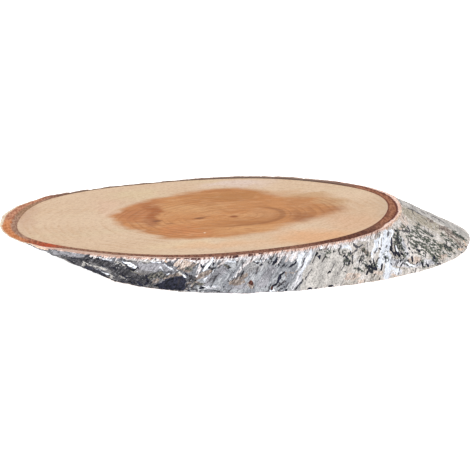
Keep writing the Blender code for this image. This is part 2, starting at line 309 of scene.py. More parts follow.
def sawn_wood_material():
    material, tree, shader = new_material("sawn birch", 0.62)
    from_pith = log_place(tree, PITH)
    from_heart = log_place(tree, HEART_CENTRE)

    waves = add_node(tree, "ShaderNodeTexNoise", {"Vector": from_heart, "Scale": 75.0, "Detail": 3.0})
    centred = {0: waves.outputs["Color"], 1: (0.5, 0.5, 0.5)}
    shift = add_node(tree, "ShaderNodeVectorMath", centred, operation="SUBTRACT").outputs[0]
    shift = stretched(tree, shift, (0.010, 0.016, 0.0))
    bent = add_node(tree, "ShaderNodeVectorMath", {0: from_heart, 1: shift}, operation="ADD").outputs[0]

    sway = noise_at(tree, stretched(tree, from_pith, (1.0, 1.0, 0.25)), 55.0, 3.0)
    reach = distance_of(tree, stretched(tree, from_pith, (1.0, 1.0, 0.0)))
    reach = plus(tree, reach, times(tree, sway, 0.0045))
    uneven = noise_at(tree, add_node(tree, "ShaderNodeCombineXYZ", {0: reach}).outputs[0], 140.0, 1.0)
    rings = plus(tree, math_of(tree, "DIVIDE", reach, 0.0026), times(tree, uneven, 2.5))
    ring_place = math_of(tree, "FRACT", rings)
    late_wood = ramp(tree, ring_place, 0.35, 0.97)
    ring_edge = ramp(tree, ring_place, 0.97, 1.0, 1.0, 0.0)
    ring_line = times(tree, late_wood, ring_edge)
    ring_change = noise_at(tree, stretched(tree, from_pith, (1.0, 1.0, 0.3)), 60.0, 2.0)
    ring_line = times(tree, ring_line, ramp(tree, ring_change, 0.35, 0.65, 0.25, 1.0))

    fibres = noise_at(tree, stretched(tree, from_pith, (1.0, 1.0, 0.07)), 1500.0, 3.0, 0.65)
    streaks = noise_at(tree, stretched(tree, from_pith, (0.35, 1.3, 0.1)), 420.0, 3.0, 0.6)
    clouds = noise_at(tree, stretched(tree, from_pith, (1.0, 1.0, 0.3)), 32.0, 3.0)
    drifts = noise_at(tree, stretched(tree, from_heart, (0.5, 1.3, 0.2)), 70.0, 3.0)

    sapwood = two_tone(tree, clouds, (222, 196, 168), (215, 187, 158), 0.3, 0.7)
    sapwood = blend(tree, ramp(tree, drifts, 0.5, 0.75, 0.0, 0.5), sapwood, srgb(216, 196, 164))
    for spot, size, strength, colour in SAPWOOD_STAINS:
        sapwood = blend(tree, soft_spot(tree, bent, spot, size, strength), sapwood, srgb(*colour))
    sapwood = blend(tree, times(tree, ring_line, 0.28), sapwood, srgb(196, 152, 112))

    edge_noise = noise_at(tree, stretched(tree, from_heart, (0.9, 1.2, 0.3)), 95.0, 3.0, 0.5)
    heart_reach = lobed_reach(tree, from_heart, HEART_LOBES)
    heart_reach = plus(tree, heart_reach, times(tree, edge_noise, 0.009))
    edge_place = HEART_RADIUS + 0.0045
    heart_side = add_node(tree, "ShaderNodeSeparateXYZ", {0: from_heart}).outputs[0]
    softness = ramp(tree, heart_side, -0.03, 0.03, 0.0024, 0.0050)
    inside = math_of(tree, "DIVIDE", minus(tree, edge_place, heart_reach), softness)
    heart = ramp(tree, inside, -0.9, 1.0)
    heart_rim = ramp(tree, heart_reach, edge_place - 0.010, edge_place - 0.001)

    mottle = noise_at(tree, stretched(tree, bent, (0.7, 1.4, 0.2)), 190.0, 4.0, 0.6)
    heartwood = two_tone(tree, clouds, (200, 138, 85), (189, 127, 73), 0.35, 0.65)
    heartwood = blend(tree, ramp(tree, drifts, 0.45, 0.70, 0.0, 0.6), heartwood, srgb(209, 154, 101))
    heartwood = blend(tree, times(tree, heart_rim, 0.35), heartwood, srgb(188, 124, 74))
    for spot, size, strength, colour in HEART_STAINS:
        heartwood = blend(tree, soft_spot(tree, bent, spot, size, strength), heartwood, srgb(*colour))
    heartwood = blend(tree, ramp(tree, mottle, 0.50, 0.66, 0.0, 0.5), heartwood, srgb(176, 114, 66))
    heartwood = blend(tree, ramp(tree, mottle, 0.34, 0.46, 0.3, 0.0), heartwood, srgb(214, 164, 116))
    heartwood = blend(tree, times(tree, ring_line, 0.52), heartwood, srgb(152, 94, 52))

    arc_side = add_node(tree, "ShaderNodeSeparateXYZ", {0: from_pith}).outputs
    arc_side = minus(tree, arc_side[0], times(tree, arc_side[1], 0.5))
    for distance, strength in DARK_RINGS:
        from_arc = math_of(tree, "ABSOLUTE", minus(tree, reach, distance))
        arc = ramp(tree, from_arc, 0.0002, 0.0022, strength, 0.0)
        arc = times(tree, arc, ramp(tree, arc_side, -0.003, 0.008))
        heartwood = blend(tree, arc, heartwood, srgb(156, 100, 56))

    colour = blend(tree, heart, sapwood, heartwood)
    speckle = noise_at(tree, stretched(tree, from_pith, (0.6, 1.0, 0.25)), 900.0, 2.0, 0.7)
    colour = blend(tree, ramp(tree, fibres, 0.42, 0.70, 0.0, 0.30), colour, srgb(168, 118, 82))
    colour = blend(tree, ramp(tree, speckle, 0.48, 0.66, 0.0, 0.20), colour, srgb(150, 104, 74))
    colour = blend(tree, ramp(tree, streaks, 0.50, 0.72, 0.0, 0.14), colour, srgb(236, 206, 168))
    for spot, size, strength, dark in FACE_MARKS:
        colour = blend(tree, soft_spot(tree, from_heart, spot, size, strength), colour, srgb(*dark))

    tree.links.new(colour, shader.inputs["Base Color"])
    tree.links.new(ramp(tree, fibres, 0.2, 0.8, 0.55, 0.72), shader.inputs["Roughness"])
    relief = plus(tree, fibres, times(tree, ring_line, -0.5))
    set_bump(tree, shader, relief, 0.00012, 0.5)
    return material


def make_sawn_wood():
    """An oval on each saw plane, joined by the wood's side, with a worn edge against the bark."""
    mesh = bmesh.new()
    bmesh.ops.create_circle(mesh, cap_ends=True, segments=WOOD_SIDES, radius=1.0)
    angles = {vert: math.atan2(vert.co.y, vert.co.x) for vert in mesh.verts}
    for vert, angle in angles.items():
        radius = wood_radius(angle, SLICE_THICKNESS)
        vert.co = place_on_log(angle, radius, along_at(angle, radius, SLICE_THICKNESS))
    upper = list(angles)
    made = bmesh.ops.extrude_face_region(mesh, geom=mesh.faces[:])
    lower = [thing for thing in made["geom"] if isinstance(thing, bmesh.types.BMVert)]
    for vert in lower:
        twin = next(edge.other_vert(vert) for edge in vert.link_edges if edge.other_vert(vert) in angles)
        angle = angles[twin]
        radius = wood_radius(angle, 0.0)
        vert.co = place_on_log(angle, radius, along_at(angle, radius, 0.0))
    faces = [face for face in mesh.faces if len(face.verts) > 4]
    bmesh.ops.inset_region(mesh, faces=faces, thickness=EDGE_WEAR * 2, use_even_offset=True)
    for vert in upper:
        vert.co.z -= EDGE_WEAR
    for vert in lower:
        vert.co.z += EDGE_WEAR
    return finish_mesh(mesh, "sawn_wood", [sawn_wood_material()])


sawn_wood = make_sawn_wood()
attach(sawn_wood, "root")
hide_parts("birch_slice")

# The bark
# The real piece is the living bark of a young birch, 3 to 5 mm thick: a brown inner layer, and
# over it white and grey paper that splits around the log into fissures and plates. It grew on
# the wood, so it is on all round, and the same two saw cuts trimmed it flat with the wood.

LOG_RADIUS = 0.062
LOG_LOBES = {2: (0.00075, 1), 3: (0.00105, 103), 4: (0.00055, -140), 5: (0.0003, 60), 6: (0.0005, 152)}
BARK_COLUMNS = 700
BARK_STEP = 0.00056
BARK_MARGIN = 0.0045
BARK_GAP = 0.00006
HALF_LOG = (SLICE_THICKNESS / 2 + LOG_RADIUS * math.cos(SAW_ANGLE)) / math.sin(SAW_ANGLE) + 0.006

LOOSE_FISSURES = 380
DEEP_FISSURE = 0.0006
# The back can't be seen in the photo: past MIRROR_ANGLE it repeats the front's strokes, turned and moved
# a little, and the strokes fade out where front and back meet
MIRROR_ANGLE = math.radians(38)
MIRROR_TURN = 0.12
MIRROR_SHIFT = 0.005
MIRROR_FADE = 0.12
SEAM_FADE = 0.1
# How far noise bends the strokes, the size of its lumps around and along the log, and its layer
STROKE_BENDS = ((0.0006, 0.0045, 0.0035, 20), (0.0003, 0.0016, 0.0013, 22))
# The relief that is all over the bark, from its broad swells to its grain and lichen
BARK_SWELL = 0.0005
PLATE_HEIGHT = 0.0006
FLAKE_HEIGHT = 0.00025
GRAIN_HEIGHT = 0.00012
ROUGH_HEIGHT = 0.0003
LICHEN_HEIGHT = 0.00022

# What shows on the front of the bark: strokes of each kind. A stroke has the angle around the log
# and the place along it at each end, then its half width at each end, in degrees and mm
BARK_STROKES = {
    "mist": (
        (-144.8, 105.2, -138, 98.5, 3.36, 3.21), (-138, 98.5, -130.2, 92.6, 3.01, 1.1),
        (-117.9, 62.8, -114.8, 57, 2.18, 3.75), (-114.8, 57, -111.2, 49.6, 3.77, 2.9),
        (-109.6, 23, -104.2, 22.2, 1.65, 2.96), (-104.2, 22.2, -93.7, 17.7, 3.14, 2.34),
        (-93.5, -7.2, -83.7, -8.2, 2.6, 3.24), (-103, 7.8, -98.1, 1.1, 1.41, 1.77),
        (-121.7, 76.4, -120.5, 71.6, 0.93, 1.18), (-117.1, 39.2, -116, 37.1, 1.15, 1.15),
        (-106.1, 35.5, -106.7, 33.1, 1.15, 1.1), (-98.6, 20.2, -106.9, 22.6, 1.52, 1.33),
        (-106.4, 39.4, -105.6, 35.8, 1.02, 1.25), (-105.6, 35.8, -103.3, 33.1, 1.25, 0.96),
    ),
    "pale": (
        (-64.2, -25.6, -70.4, -25.4, 1.44, 1.96), (-70.4, -25.4, -79.7, -25.6, 1.96, 1.57),
        (-79.7, -25.6, -88.7, -26, 1.56, 1.04), (-135.2, 70.9, -133.1, 62.2, 0.67, 0.61),
        (-130, 74.2, -129.4, 68.3, 0.43, 0.53), (-84.9, 11.3, -80.8, 4.7, 1.16, 1.38),
        (-78.2, 2, -74.1, -5.5, 0.91, 0.94), (-74, -8.9, -69, -16.8, 1.35, 1.56),
        (-50.5, -78.2, -46.1, -91.8, 2.15, 2.58), (-46.1, -91.8, -37.8, -108.1, 2.48, 1.61),
        (-53.7, -85.6, -59.7, -77, 1.56, 1.87), (-34.2, -79.7, -42.8, -87.7, 2.2, 1.52),
        (-110.4, 20, -106.6, 14, 0.6, 0.7), (-91.5, 21.8, -88, 17, 0.97, 0.97),
    ),
    "white": (
        (-120, 72.6, -119.4, 68.1, 0.48, 1.04), (-119.4, 68.1, -119.4, 63.4, 0.96, 0.48),
        (-121.3, 68.5, -120.5, 63.4, 0.47, 0.52), (-108.4, 42.3, -108.5, 41.6, 0.53, 0.53),
        (-109.4, 36.6, -110.1, 35.5, 0.61, 0.52), (-91.7, 27.5, -96, 27.7, 0.5, 1.02),
        (-96, 27.7, -102, 28.4, 1.02, 0.51), (-94.8, -13.6, -93.8, -15.1, 0.68, 0.68),
        (-47.5, -87, -46.9, -92.9, 0.53, 0.6), (-45, -62.7, -50.2, -63.7, 0.34, 0.41),
        (-50.2, -63.7, -54.7, -64.6, 0.41, 0.34), (-38.5, -66, -45.4, -66.4, 0.7, 0.68),
        (-31.6, -73, -38.4, -73.7, 0.75, 0.57), (-40.9, -78.4, -43.4, -80.2, 0.71, 0.68),
        (-58.9, -29, -60.8, -31.1, 0.58, 0.63), (-94.5, -14.4, -93.9, -15.1, 0.54, 0.48),
        (-88.5, 9.8, -92.2, 9.7, 0.19, 0.19), (-82.8, 1.7, -85.3, 1.7, 0.19, 0.19),
        (-110.3, 35.7, -110.7, 34.8, 0.55, 0.55), (-114.5, 45.9, -113.4, 45.3, 0.5, 0.45),
        (-110.9, 23.2, -106.2, 14.8, 0.35, 0.33),
    ),
    "olive": (
        (-92.6, 19.8, -92.8, 15.5, 0.77, 0.77), (-112.1, 28.4, -109.9, 24.2, 0.74, 0.86),
        (-125.7, 66.1, -125.1, 62.3, 1.55, 2.04), (-123.7, 53.7, -120.2, 51.9, 1.07, 1.99),
        (-120.2, 51.9, -117, 48.9, 2.19, 2.24), (-117, 48.9, -116.7, 46.4, 2.43, 1.39),
        (-128.7, 81, -126.6, 76.6, 1.29, 1.43), (-104.3, 38.7, -103.8, 34.8, 1.03, 1.18),
    ),
    "dusk": (
        (-145.8, 102.1, -141.7, 94.9, 1.72, 3.28), (-141.7, 94.9, -131.5, 90.6, 2.17, 1.97),
        (-131.5, 90.6, -128.3, 83.3, 2.69, 3.02), (-128.3, 83.3, -127.8, 75.3, 3.04, 2.86),
        (-127.8, 75.3, -127.7, 66.4, 2.84, 3.02), (-127.7, 66.4, -126.8, 57.2, 3.05, 3.03),
        (-146.8, 86.8, -139.4, 76.6, 3.96, 3.92), (-139.4, 76.6, -137.6, 65.6, 4.21, 3.13),
        (-137.6, 65.6, -135.2, 57, 3.14, 2.32), (-131.7, 73.3, -133, 59.5, 1.64, 2.82),
        (-50.8, -49.8, -51.6, -52.2, 0.71, 0.97), (-51.6, -52.4, -48.9, -55.7, 0.48, 0.54),
        (-73.3, -44.2, -72.5, -45.5, 0.57, 0.44), (-75.4, -49.4, -74.7, -50.4, 0.38, 0.38),
        (-59.9, -48.5, -61.8, -51.6, 0.76, 0.89), (-57.4, -51.8, -60.9, -53.7, 0.55, 0.59),
        (-61.9, -30.9, -62.8, -32.7, 0.61, 0.76), (-58.7, -62.3, -60.9, -67.8, 0.99, 1.03),
        (-98.3, 28.6, -98.2, 23.9, 1.12, 1.12), (-107.8, 35.2, -108.5, 30.6, 0.73, 1.16),
        (-108.5, 30.6, -111.6, 32.2, 1.15, 1.21), (-113.4, 34.1, -109.8, 31.2, 0.92, 1.07),
        (-117.4, 28.6, -109.5, 26.6, 0.47, 0.54), (-115.4, 30.9, -110.3, 29.2, 0.71, 0.61),
        (-91.5, -16.5, -86.6, -18.4, 0.68, 0.59), (-115.7, 24.8, -108.4, 11.3, 0.41, 0.39),
        (-84.4, 4.7, -83.3, 1.5, 0.52, 0.56), (-90.4, 7.3, -93.8, 7.2, 0.45, 0.45),
        (-148.1, 100.6, -145.7, 95.4, 1.76, 3.52), (-145.7, 95.4, -137.9, 91.7, 2.47, 1.54),
        (-137.9, 91.7, -132.1, 89, 1.56, 1.68), (-132.1, 89, -128.7, 83.7, 2.2, 2.4),
        (-128.7, 83.7, -127.8, 76, 2.47, 3.08), (-148.5, 91.6, -139.9, 88.1, 3.52, 1.85),
        (-128.7, 75.6, -127.7, 67.8, 2.8, 3.05), (-127.7, 67.8, -126.8, 60, 3.05, 2.63),
        (-135.2, 70.9, -134.1, 61.7, 2.68, 2.93), (-134.1, 61.7, -132, 54.4, 2.95, 2.1),
        (-141.3, 86.1, -140.1, 79.7, 2.74, 3.52), (-127.5, 56.8, -127.5, 52.6, 2.98, 3.54),
        (-117.9, 31.8, -113.7, 30.2, 0.71, 0.71), (-29.9, -77.8, -37, -78.1, 0.89, 1.42),
        (-23.6, -114.5, -23.9, -118.1, 1.67, 1.88), (-4.3, -126, -6.3, -130.2, 1.32, 1.59),
        (-115.5, 33.3, -115.9, 28.9, 1.28, 1.04), (-115.9, 28.9, -114, 24.5, 1.06, 0.66),
        (-112.2, 33.2, -109.8, 29.1, 0.66, 0.62), (-111.3, 24.4, -111.8, 22.3, 0.43, 0.43),
        (-129.2, 86.2, -127, 81.9, 1.43, 1.74),
    ),
    "tan": (
        (-7.7, -112.1, 4.1, -122.9, 1.22, 1.44), (-12, -123.6, -15.5, -127.6, 1.51, 1.34),
        (-51.5, -57.5, -52.1, -60.4, 1.55, 1.56), (-67.7, -43.1, -68.6, -44.6, 0.51, 0.57),
        (-92.9, 4.4, -96.3, 7.1, 1.22, 1.76), (-96.3, 7.1, -101.2, 9.6, 1.75, 1.41),
        (-96.9, 3.9, -100.7, 7.8, 1.13, 1.13), (-83, -14.8, -79.1, -22.4, 0.26, 0.25),
        (-82.1, -17.4, -84.1, -18.3, 0.44, 0.38), (-127.1, 50.3, -124.3, 48.9, 0.99, 1.57),
        (-124.3, 48.9, -121.3, 47.8, 1.5, 1.15), (-119, 45.3, -114.7, 43.4, 0.59, 1.03),
        (-114.7, 43.4, -111.7, 40.4, 1.13, 1.23), (-111.7, 40.4, -110.8, 36.8, 1.25, 0.78),
        (-106.3, 40.2, -104.9, 36.9, 1.88, 1.88), (-126.6, 77.3, -129.5, 73.7, 0.77, 0.79),
        (-114.9, 32.2, -109.4, 29.4, 0.68, 0.65), (-118.9, 30.5, -113.8, 28.1, 0.6, 0.67),
        (-125.2, 63.6, -123.9, 58.8, 1.23, 0.97), (5.6, -100.2, 5.9, -105.7, 2.64, 3.08),
        (4.1, -105.9, -3.7, -106.1, 2.68, 2.27), (-4.8, -113.5, -4.6, -120.5, 2.02, 2.68),
        (-4.6, -120.5, -6.7, -126.2, 2.92, 2.05), (-6.6, -116.9, -10.7, -120.7, 1.61, 2.03),
        (-98.4, 24.4, -104.4, 27, 1.2, 1.6), (-104.4, 27, -109.5, 30.7, 1.76, 1.31),
        (-92.9, 4.4, -96.8, 7.5, 0.81, 1.35), (-96.8, 7.5, -100, 9.6, 1.35, 0.92),
        (-113.2, 30.5, -109.6, 26.5, 1.06, 1.01), (-96.7, -0.4, -96.6, -2.1, 1.67, 1.74),
        (-103.8, 45.1, -103.4, 39.9, 1, 1.33), (-103.4, 39.9, -101.7, 36.1, 1.34, 1.34),
        (-101.7, 36.1, -97.8, 35.1, 1.19, 0.92), (-99.8, 41.4, -98.5, 36.7, 0.89, 0.98),
    ),
    "blush": (
        (-69.6, -53.8, -66.4, -59.5, 1.84, 2.1), (-69.3, -62.4, -67, -64.9, 0.9, 0.75),
        (-60.4, -69.8, -59.4, -73.8, 1.25, 1.36), (-65.6, -46.6, -66.9, -49.5, 0.89, 0.75),
        (-101.9, 46.9, -100.1, 41.2, 1.48, 2.22), (-100.1, 41.2, -97.5, 36, 2.22, 1.83),
        (-105.3, 44.9, -102.3, 39.8, 1.41, 1.56), (-104.5, 40.5, -109.1, 42.6, 0.82, 0.57),
        (-24.9, -73.3, -12.9, -81.4, 1.88, 2.11), (-12.9, -81.4, -19.3, -82.8, 3.35, 2.92),
        (-45.5, -90.1, -42.1, -95.2, 1.97, 2.24), (-34, -110.5, -30.5, -114.8, 1.64, 1.41),
        (-57.9, -81.4, -56.9, -84, 0.87, 0.87), (-23.2, -82.5, -27.5, -79.3, 1.65, 1),
        (-34, -67.5, -28.4, -72.4, 0.8, 1.01), (-28.4, -72.4, -19.7, -78.2, 0.99, 0.76),
    ),
    "beige": (
        (-2.6, -84.2, -10.2, -90.2, 7.05, 8.72), (-8.4, -102.7, -6.7, -118.5, 7.44, 5.88),
        (-10.3, -123.1, -11.2, -129.9, 7.72, 5.72), (-24.4, -109.9, -23.7, -119.2, 2.9, 2.9),
    ),
    # Black bark marks, and painted shadows under the lifted white flakes, both sunk into the bark
    "black_and_shadow": (
        (-132.1, 68.2, -131.1, 57.7, 0.61, 0.7), (-124.8, 67.3, -122.8, 63.5, 0.48, 0.87),
        (-122.8, 63.5, -118.3, 62.6, 0.61, 0.41), (-73.9, -19.1, -76.7, -18.2, 0.5, 0.85),
        (-76.7, -18.2, -78.8, -17, 0.85, 0.46), (-69.8, -24, -76.6, -23.9, 0.25, 0.33),
        (-81.1, -28.5, -87.8, -28, 0.38, 0.39), (-44.8, -75.3, -44.5, -79.8, 0.42, 0.55),
        (-44.5, -79.8, -43.6, -84.9, 0.56, 0.37), (-63.9, -29.8, -66.1, -29.8, 0.57, 0.5),
        (-65.5, -31.8, -66.5, -32.6, 0.72, 0.5), (-72.2, -41.7, -70.6, -42.8, 0.59, 0.59),
        (-85.1, -34.5, -84.4, -36, 0.72, 0.76), (-83.4, -38.5, -82.6, -39.8, 0.46, 0.44),
        (-81.9, -41.2, -81.7, -41.5, 0.44, 0.46), (-78.9, -46.3, -77.6, -49, 0.57, 0.64),
        (-75.4, -53.7, -75, -54.3, 0.38, 0.38), (-67.4, -51.7, -67.3, -52.6, 0.43, 0.43),
        (-54.2, -65.4, -55, -67, 0.59, 0.62), (-58.4, -64.8, -58.4, -70, 0.75, 0.88),
        (-55.1, -66.7, -57.8, -69.3, 0.62, 0.66), (-63, -64.9, -60.8, -65.6, 0.86, 0.59),
        (-57.8, -72.5, -54.7, -72.3, 0.4, 0.62), (-51.6, -71.8, -52.2, -71.9, 0.34, 0.34),
        (-46.7, -66.7, -46.8, -68.1, 0.34, 0.32), (-49.2, -73.1, -49.7, -74.1, 0.32, 0.34),
        (-55.7, -49.3, -56.9, -50, 0.41, 0.39), (-42.2, -74, -45, -74.8, 0.69, 0.55),
        (-75.6, -7.2, -78.8, -8, 0.44, 0.78), (-78.8, -8, -80.4, -7.3, 0.78, 0.72),
        (-82.3, -15.8, -86.2, -14.8, 0.59, 0.65), (-86.2, -14.8, -90.2, -14.7, 0.63, 0.69),
        (-90.2, -14.7, -93.7, -13.9, 0.74, 0.59), (-94, 25.8, -95.3, 25.5, 0.5, 0.48),
        (-112.2, 22.8, -111.1, 21.4, 0.98, 0.54), (-87.6, 14, -88.5, 13.9, 0.37, 0.31),
        (-79.9, -1.8, -79.6, -2.3, 0.39, 0.38), (-77.8, -5.1, -79, -5.7, 0.38, 0.37),
        (-84.1, -0.2, -83, -0.9, 0.45, 0.45), (-83.8, 1.9, -84.2, 1.3, 0.36, 0.36),
        (-98.5, 31.4, -100.2, 29.1, 0.49, 0.6), (-91.2, -22.4, -90.6, -22.5, 0.52, 0.54),
        (-93.1, -19, -92.8, -19.3, 0.43, 0.43), (-105.5, 12.7, -105, 12.3, 0.37, 0.37),
        (-149, 96.3, -149.8, 93.3, 1.76, 1.98), (-142.2, 97.4, -138.1, 91.6, 0.8, 0.8),
        (-138.1, 91.6, -133.7, 89.5, 0.58, 0.5), (-131.7, 91.9, -127.4, 89.9, 0.5, 0.56),
        (-130.7, 88.9, -125.8, 82.5, 0.42, 0.57), (-125.8, 82.5, -125.3, 80, 0.62, 0.49),
        (-149.2, 85.6, -146.7, 81.3, 1.54, 1.98), (-146.7, 81.3, -145.2, 75.7, 1.98, 3.3),
        (-145.2, 75.7, -147, 70.2, 3.3, 2.2), (-144.8, 84.8, -141, 78, 3.08, 3.36),
        (-146, 67.1, -139.1, 62.2, 1.54, 1.17), (-139.1, 62.2, -135.2, 57, 1.4, 1.23),
        (-123.5, 68.6, -122.4, 66.5, 0.55, 0.73), (-117.3, 64.2, -120.1, 61.7, 0.45, 0.39),
        (-119.5, 73.9, -122.5, 68.5, 0.31, 0.4), (-123.2, 55.1, -126.9, 52, 0.59, 0.8),
        (-126.9, 52, -132, 51.6, 0.77, 0.64), (-132, 55.8, -133.5, 52.9, 1.15, 1.23),
        (-127.5, 45.7, -123.9, 43.5, 1.22, 2.17), (-123.9, 43.5, -119.4, 40.6, 2.22, 3.43),
        (-119.4, 40.6, -114.9, 36.4, 3.71, 3.54), (-127.4, 42.9, -122.7, 38.7, 0.91, 2.47),
        (-122.7, 38.7, -117.8, 33.2, 2.52, 2.71), (-111.5, 36.4, -111.3, 34, 0.98, 0.62),
        (-119, 29.8, -117.8, 27.7, 0.52, 0.49), (-107.7, 36.6, -109, 34.4, 0.39, 0.52),
        (-129.5, 76.5, -129.9, 72.1, 0.52, 0.63), (-131.9, 82.1, -130.5, 78.1, 0.56, 0.57),
        (-37, -74.3, -41.9, -74.6, 0.44, 0.66), (-41.9, -74.6, -44.6, -75.2, 0.66, 0.78),
        (-41.1, -77.3, -43, -78.1, 0.62, 0.7), (-43, -78.1, -44.2, -79.7, 0.74, 0.83),
        (-44.2, -79.7, -45.4, -82, 0.82, 0.83), (-44.5, -75.2, -45.4, -79.3, 0.55, 0.53),
        (-42.9, -82.1, -43.9, -84.5, 0.52, 0.53), (-37.2, -87.4, -38.3, -88.2, 0.71, 0.78),
        (-39.6, -89.9, -40, -90.1, 0.49, 0.49), (-42.2, -90.5, -44.3, -91.6, 0.61, 0.76),
        (-41.3, -87.3, -42.1, -87.6, 0.55, 0.55), (-34.1, -92.1, -34.6, -92.3, 0.58, 0.58),
        (-35.8, -93.4, -36.4, -95.1, 0.67, 0.67), (-42.9, -98.6, -44.6, -100, 0.69, 0.84),
        (-41.8, -102.1, -43, -103.2, 0.64, 0.64), (-34, -105.8, -36.2, -106.5, 0.73, 0.7),
        (-51.6, -93.2, -51.1, -94.3, 0.56, 0.57), (-39, -109.5, -37.8, -111.2, 0.44, 0.45),
        (-14.7, -131.3, -11.7, -133.4, 0.58, 0.58), (-22.5, -126.5, -21.8, -127.5, 0.51, 0.51),
        (-30, -75.3, -30.4, -76, 0.82, 0.81), (-51.7, -83.7, -52.1, -84.2, 0.4, 0.4),
        (-51.3, -77.3, -51.8, -78, 0.37, 0.39), (-50.8, -88.2, -51.1, -88.9, 0.32, 0.34),
    ),
    "speckle": (
        (-35.9, -76.1, -40.2, -80.1, 2.63, 3.18), (-40.2, -80.1, -44.4, -83.6, 3.18, 2.65),
        (-46.2, -73.5, -47, -80.6, 1.35, 2.05), (-119.1, 50.5, -114, 46.6, 2.37, 1.9),
        (-48.9, -82.1, -43.8, -100.4, 1.87, 1.99), (-43.8, -100.4, -36.5, -111, 1.86, 1.27),
        (-127.5, 56.8, -127.9, 51.7, 2.96, 3.92), (-18.8, -121.8, -14, -130.2, 2.5, 2.66),
        (-143.6, 100.2, -138.6, 90, 3.68, 4.32), (-122.8, 74.5, -126, 67.3, 1.64, 1.77),
        (-61.8, -31.6, -58.9, -38.9, 1.8, 1.8), (-58, -44.2, -61.1, -51.7, 1.51, 2.16),
        (-55.9, -64.7, -60.9, -67.8, 2.06, 3.17), (-49.9, -55.4, -61.8, -59.4, 1.71, 1.98),
        (-49.4, -70.2, -51.5, -75.6, 1.36, 1.51), (-85.4, 4.8, -82.8, -0.6, 1.42, 1.81),
        (-80.7, -0.8, -79.2, -7.7, 1.47, 1.72), (-80.7, -9.2, -77.9, -13.2, 1.26, 1.89),
        (-92.6, 21.2, -94.4, 13.1, 1.66, 1.79), (-98, 35.6, -100, 42.6, 1.41, 2.22),
        (-98.5, 29.2, -96.8, 24.1, 1.41, 1.41), (-88.3, -15.9, -91.1, -20.4, 1.44, 1.56),
        (-122, 52.9, -117.7, 48.5, 2.52, 2.54), (-132.1, 61.3, -129.2, 55.9, 3.15, 3.15),
        (-129.4, 71, -131.2, 63.2, 2.51, 3.15),
    ),
    "lichen": (
        (-35.6, -76.8, -43.3, -83.3, 3.5, 3.78), (-25, -82.4, -29.9, -88.5, 3.38, 4.87),
        (-29.9, -88.5, -35.4, -95.2, 4.89, 5.05), (-22.5, -93.1, -27.6, -100.7, 4.98, 7.23),
        (-27.6, -100.7, -34, -107.4, 7.18, 4.43), (-26.1, -108.3, -27.3, -115.3, 4.05, 3.87),
        (-13.9, -114, -18.4, -122.6, 3.71, 3.77), (-46.7, -87.4, -47.2, -92.2, 1.71, 1.73),
        (-42.1, -98.3, -44.3, -100.6, 1.61, 1.53), (-35.9, -106.2, -39, -108.4, 1.68, 1.6),
        (-59.3, -65.6, -56.2, -68.6, 2.66, 2.12), (-57.3, -58.3, -57.7, -61.8, 1.48, 1.37),
        (-57.3, -49.1, -62, -49.5, 1.5, 2.23), (-59.9, -35.7, -63.6, -36.2, 2.1, 1.57),
        (-59.3, -44.1, -57.5, -45.5, 1.13, 1.13), (-51.3, -57.8, -53.2, -60.9, 1.22, 1.44),
        (-63.3, -57.1, -62.8, -61.4, 1.24, 1.24), (-48.6, -72.1, -50.7, -74.5, 1.08, 1.44),
        (-20.6, -94.8, -21.2, -101.6, 2.89, 3.45), (-30.7, -77.8, -38, -78.8, 2.81, 3.17),
        (-24.4, -114.5, -24.5, -119.2, 3.3, 2.96), (-26.8, -106.8, -32, -108.7, 2.75, 2.18),
        (-3, -125.5, -6.8, -130, 3.4, 3.33), (-14.2, -94.1, -20, -92.6, 1.38, 1.38),
    ),
    "rust": (
        (-72.1, -6.8, -74.7, -7.2, 0.56, 0.5), (-77.3, -50.3, -76.7, -51.1, 0.38, 0.45),
        (-84.3, 13.7, -87.5, 13.6, 0.5, 0.28), (-72.3, -6.3, -75.8, -7.4, 0.52, 0.38),
        (-95.6, -0.5, -95.7, -1.3, 1.54, 1.54), (-78.2, 2, -80.4, 1.4, 0.25, 0.25),
        (-93.8, -13.7, -92.9, -14.1, 0.41, 0.41),
    ),
    "silver": (
        (-68.6, -33, -76.4, -32.3, 4.58, 5.89), (-76.4, -32.3, -84, -32.4, 5.88, 3.27),
        (-63.7, -39.1, -71, -39.3, 4.59, 5.24), (-71, -39.3, -80.1, -38.7, 5.24, 3.93),
        (-63.6, -45.6, -69.9, -45.2, 3.28, 3.94), (-69.9, -45.2, -76, -45.7, 3.94, 3.28),
        (-62.8, -29.2, -59.4, -36.2, 2.42, 2.4), (-59.4, -36.2, -56, -44.7, 2.39, 2.4),
        (-67.7, -50.6, -74.1, -50.4, 2.63, 1.97), (-138.6, 90, -147.3, 87.6, 1.32, 1.1),
        (-135.1, 83.7, -133.3, 78.7, 0.86, 1.18), (-139.5, 87.9, -135.2, 84, 0.53, 0.44),
        (-122.5, 75.4, -122.5, 71.3, 1.17, 1.16), (-134.7, 67.7, -131.2, 63.2, 0.61, 0.67),
        (-135.2, 73.6, -142.6, 69.4, 0.47, 0.75), (-116.8, 72.3, -113, 63.5, 0.79, 0.88),
        (-113, 63.5, -108.1, 55.4, 0.83, 0.7), (-109.9, 40.1, -109.7, 37.8, 0.93, 0.7),
        (7.1, -88.4, 7.1, -99.1, 5.28, 7.48), (7.1, -99.1, 7.5, -113.2, 7.48, 7.48),
        (7.5, -113.2, 5.5, -128.1, 7.48, 6.16), (5.5, -128.1, 1.2, -132.9, 6.16, 4.27),
        (-137.7, 89, -143.7, 88.4, 0.94, 1.41),
    ),
    "sand": (
        (-6, -88.5, -6, -104, 6.5, 7.3), (1, -92, 2, -104, 3.5, 3.5),
    ),
    "frost": (
        (-64.2, -25.6, -70.4, -25.4, 0.7, 0.9), (-70.4, -25.4, -79.7, -25.6, 0.9, 0.6),
        (-67.8, -21.1, -72.8, -21, 1.43, 1.64), (-72.8, -21, -76.6, -22.4, 1.64, 0.5),
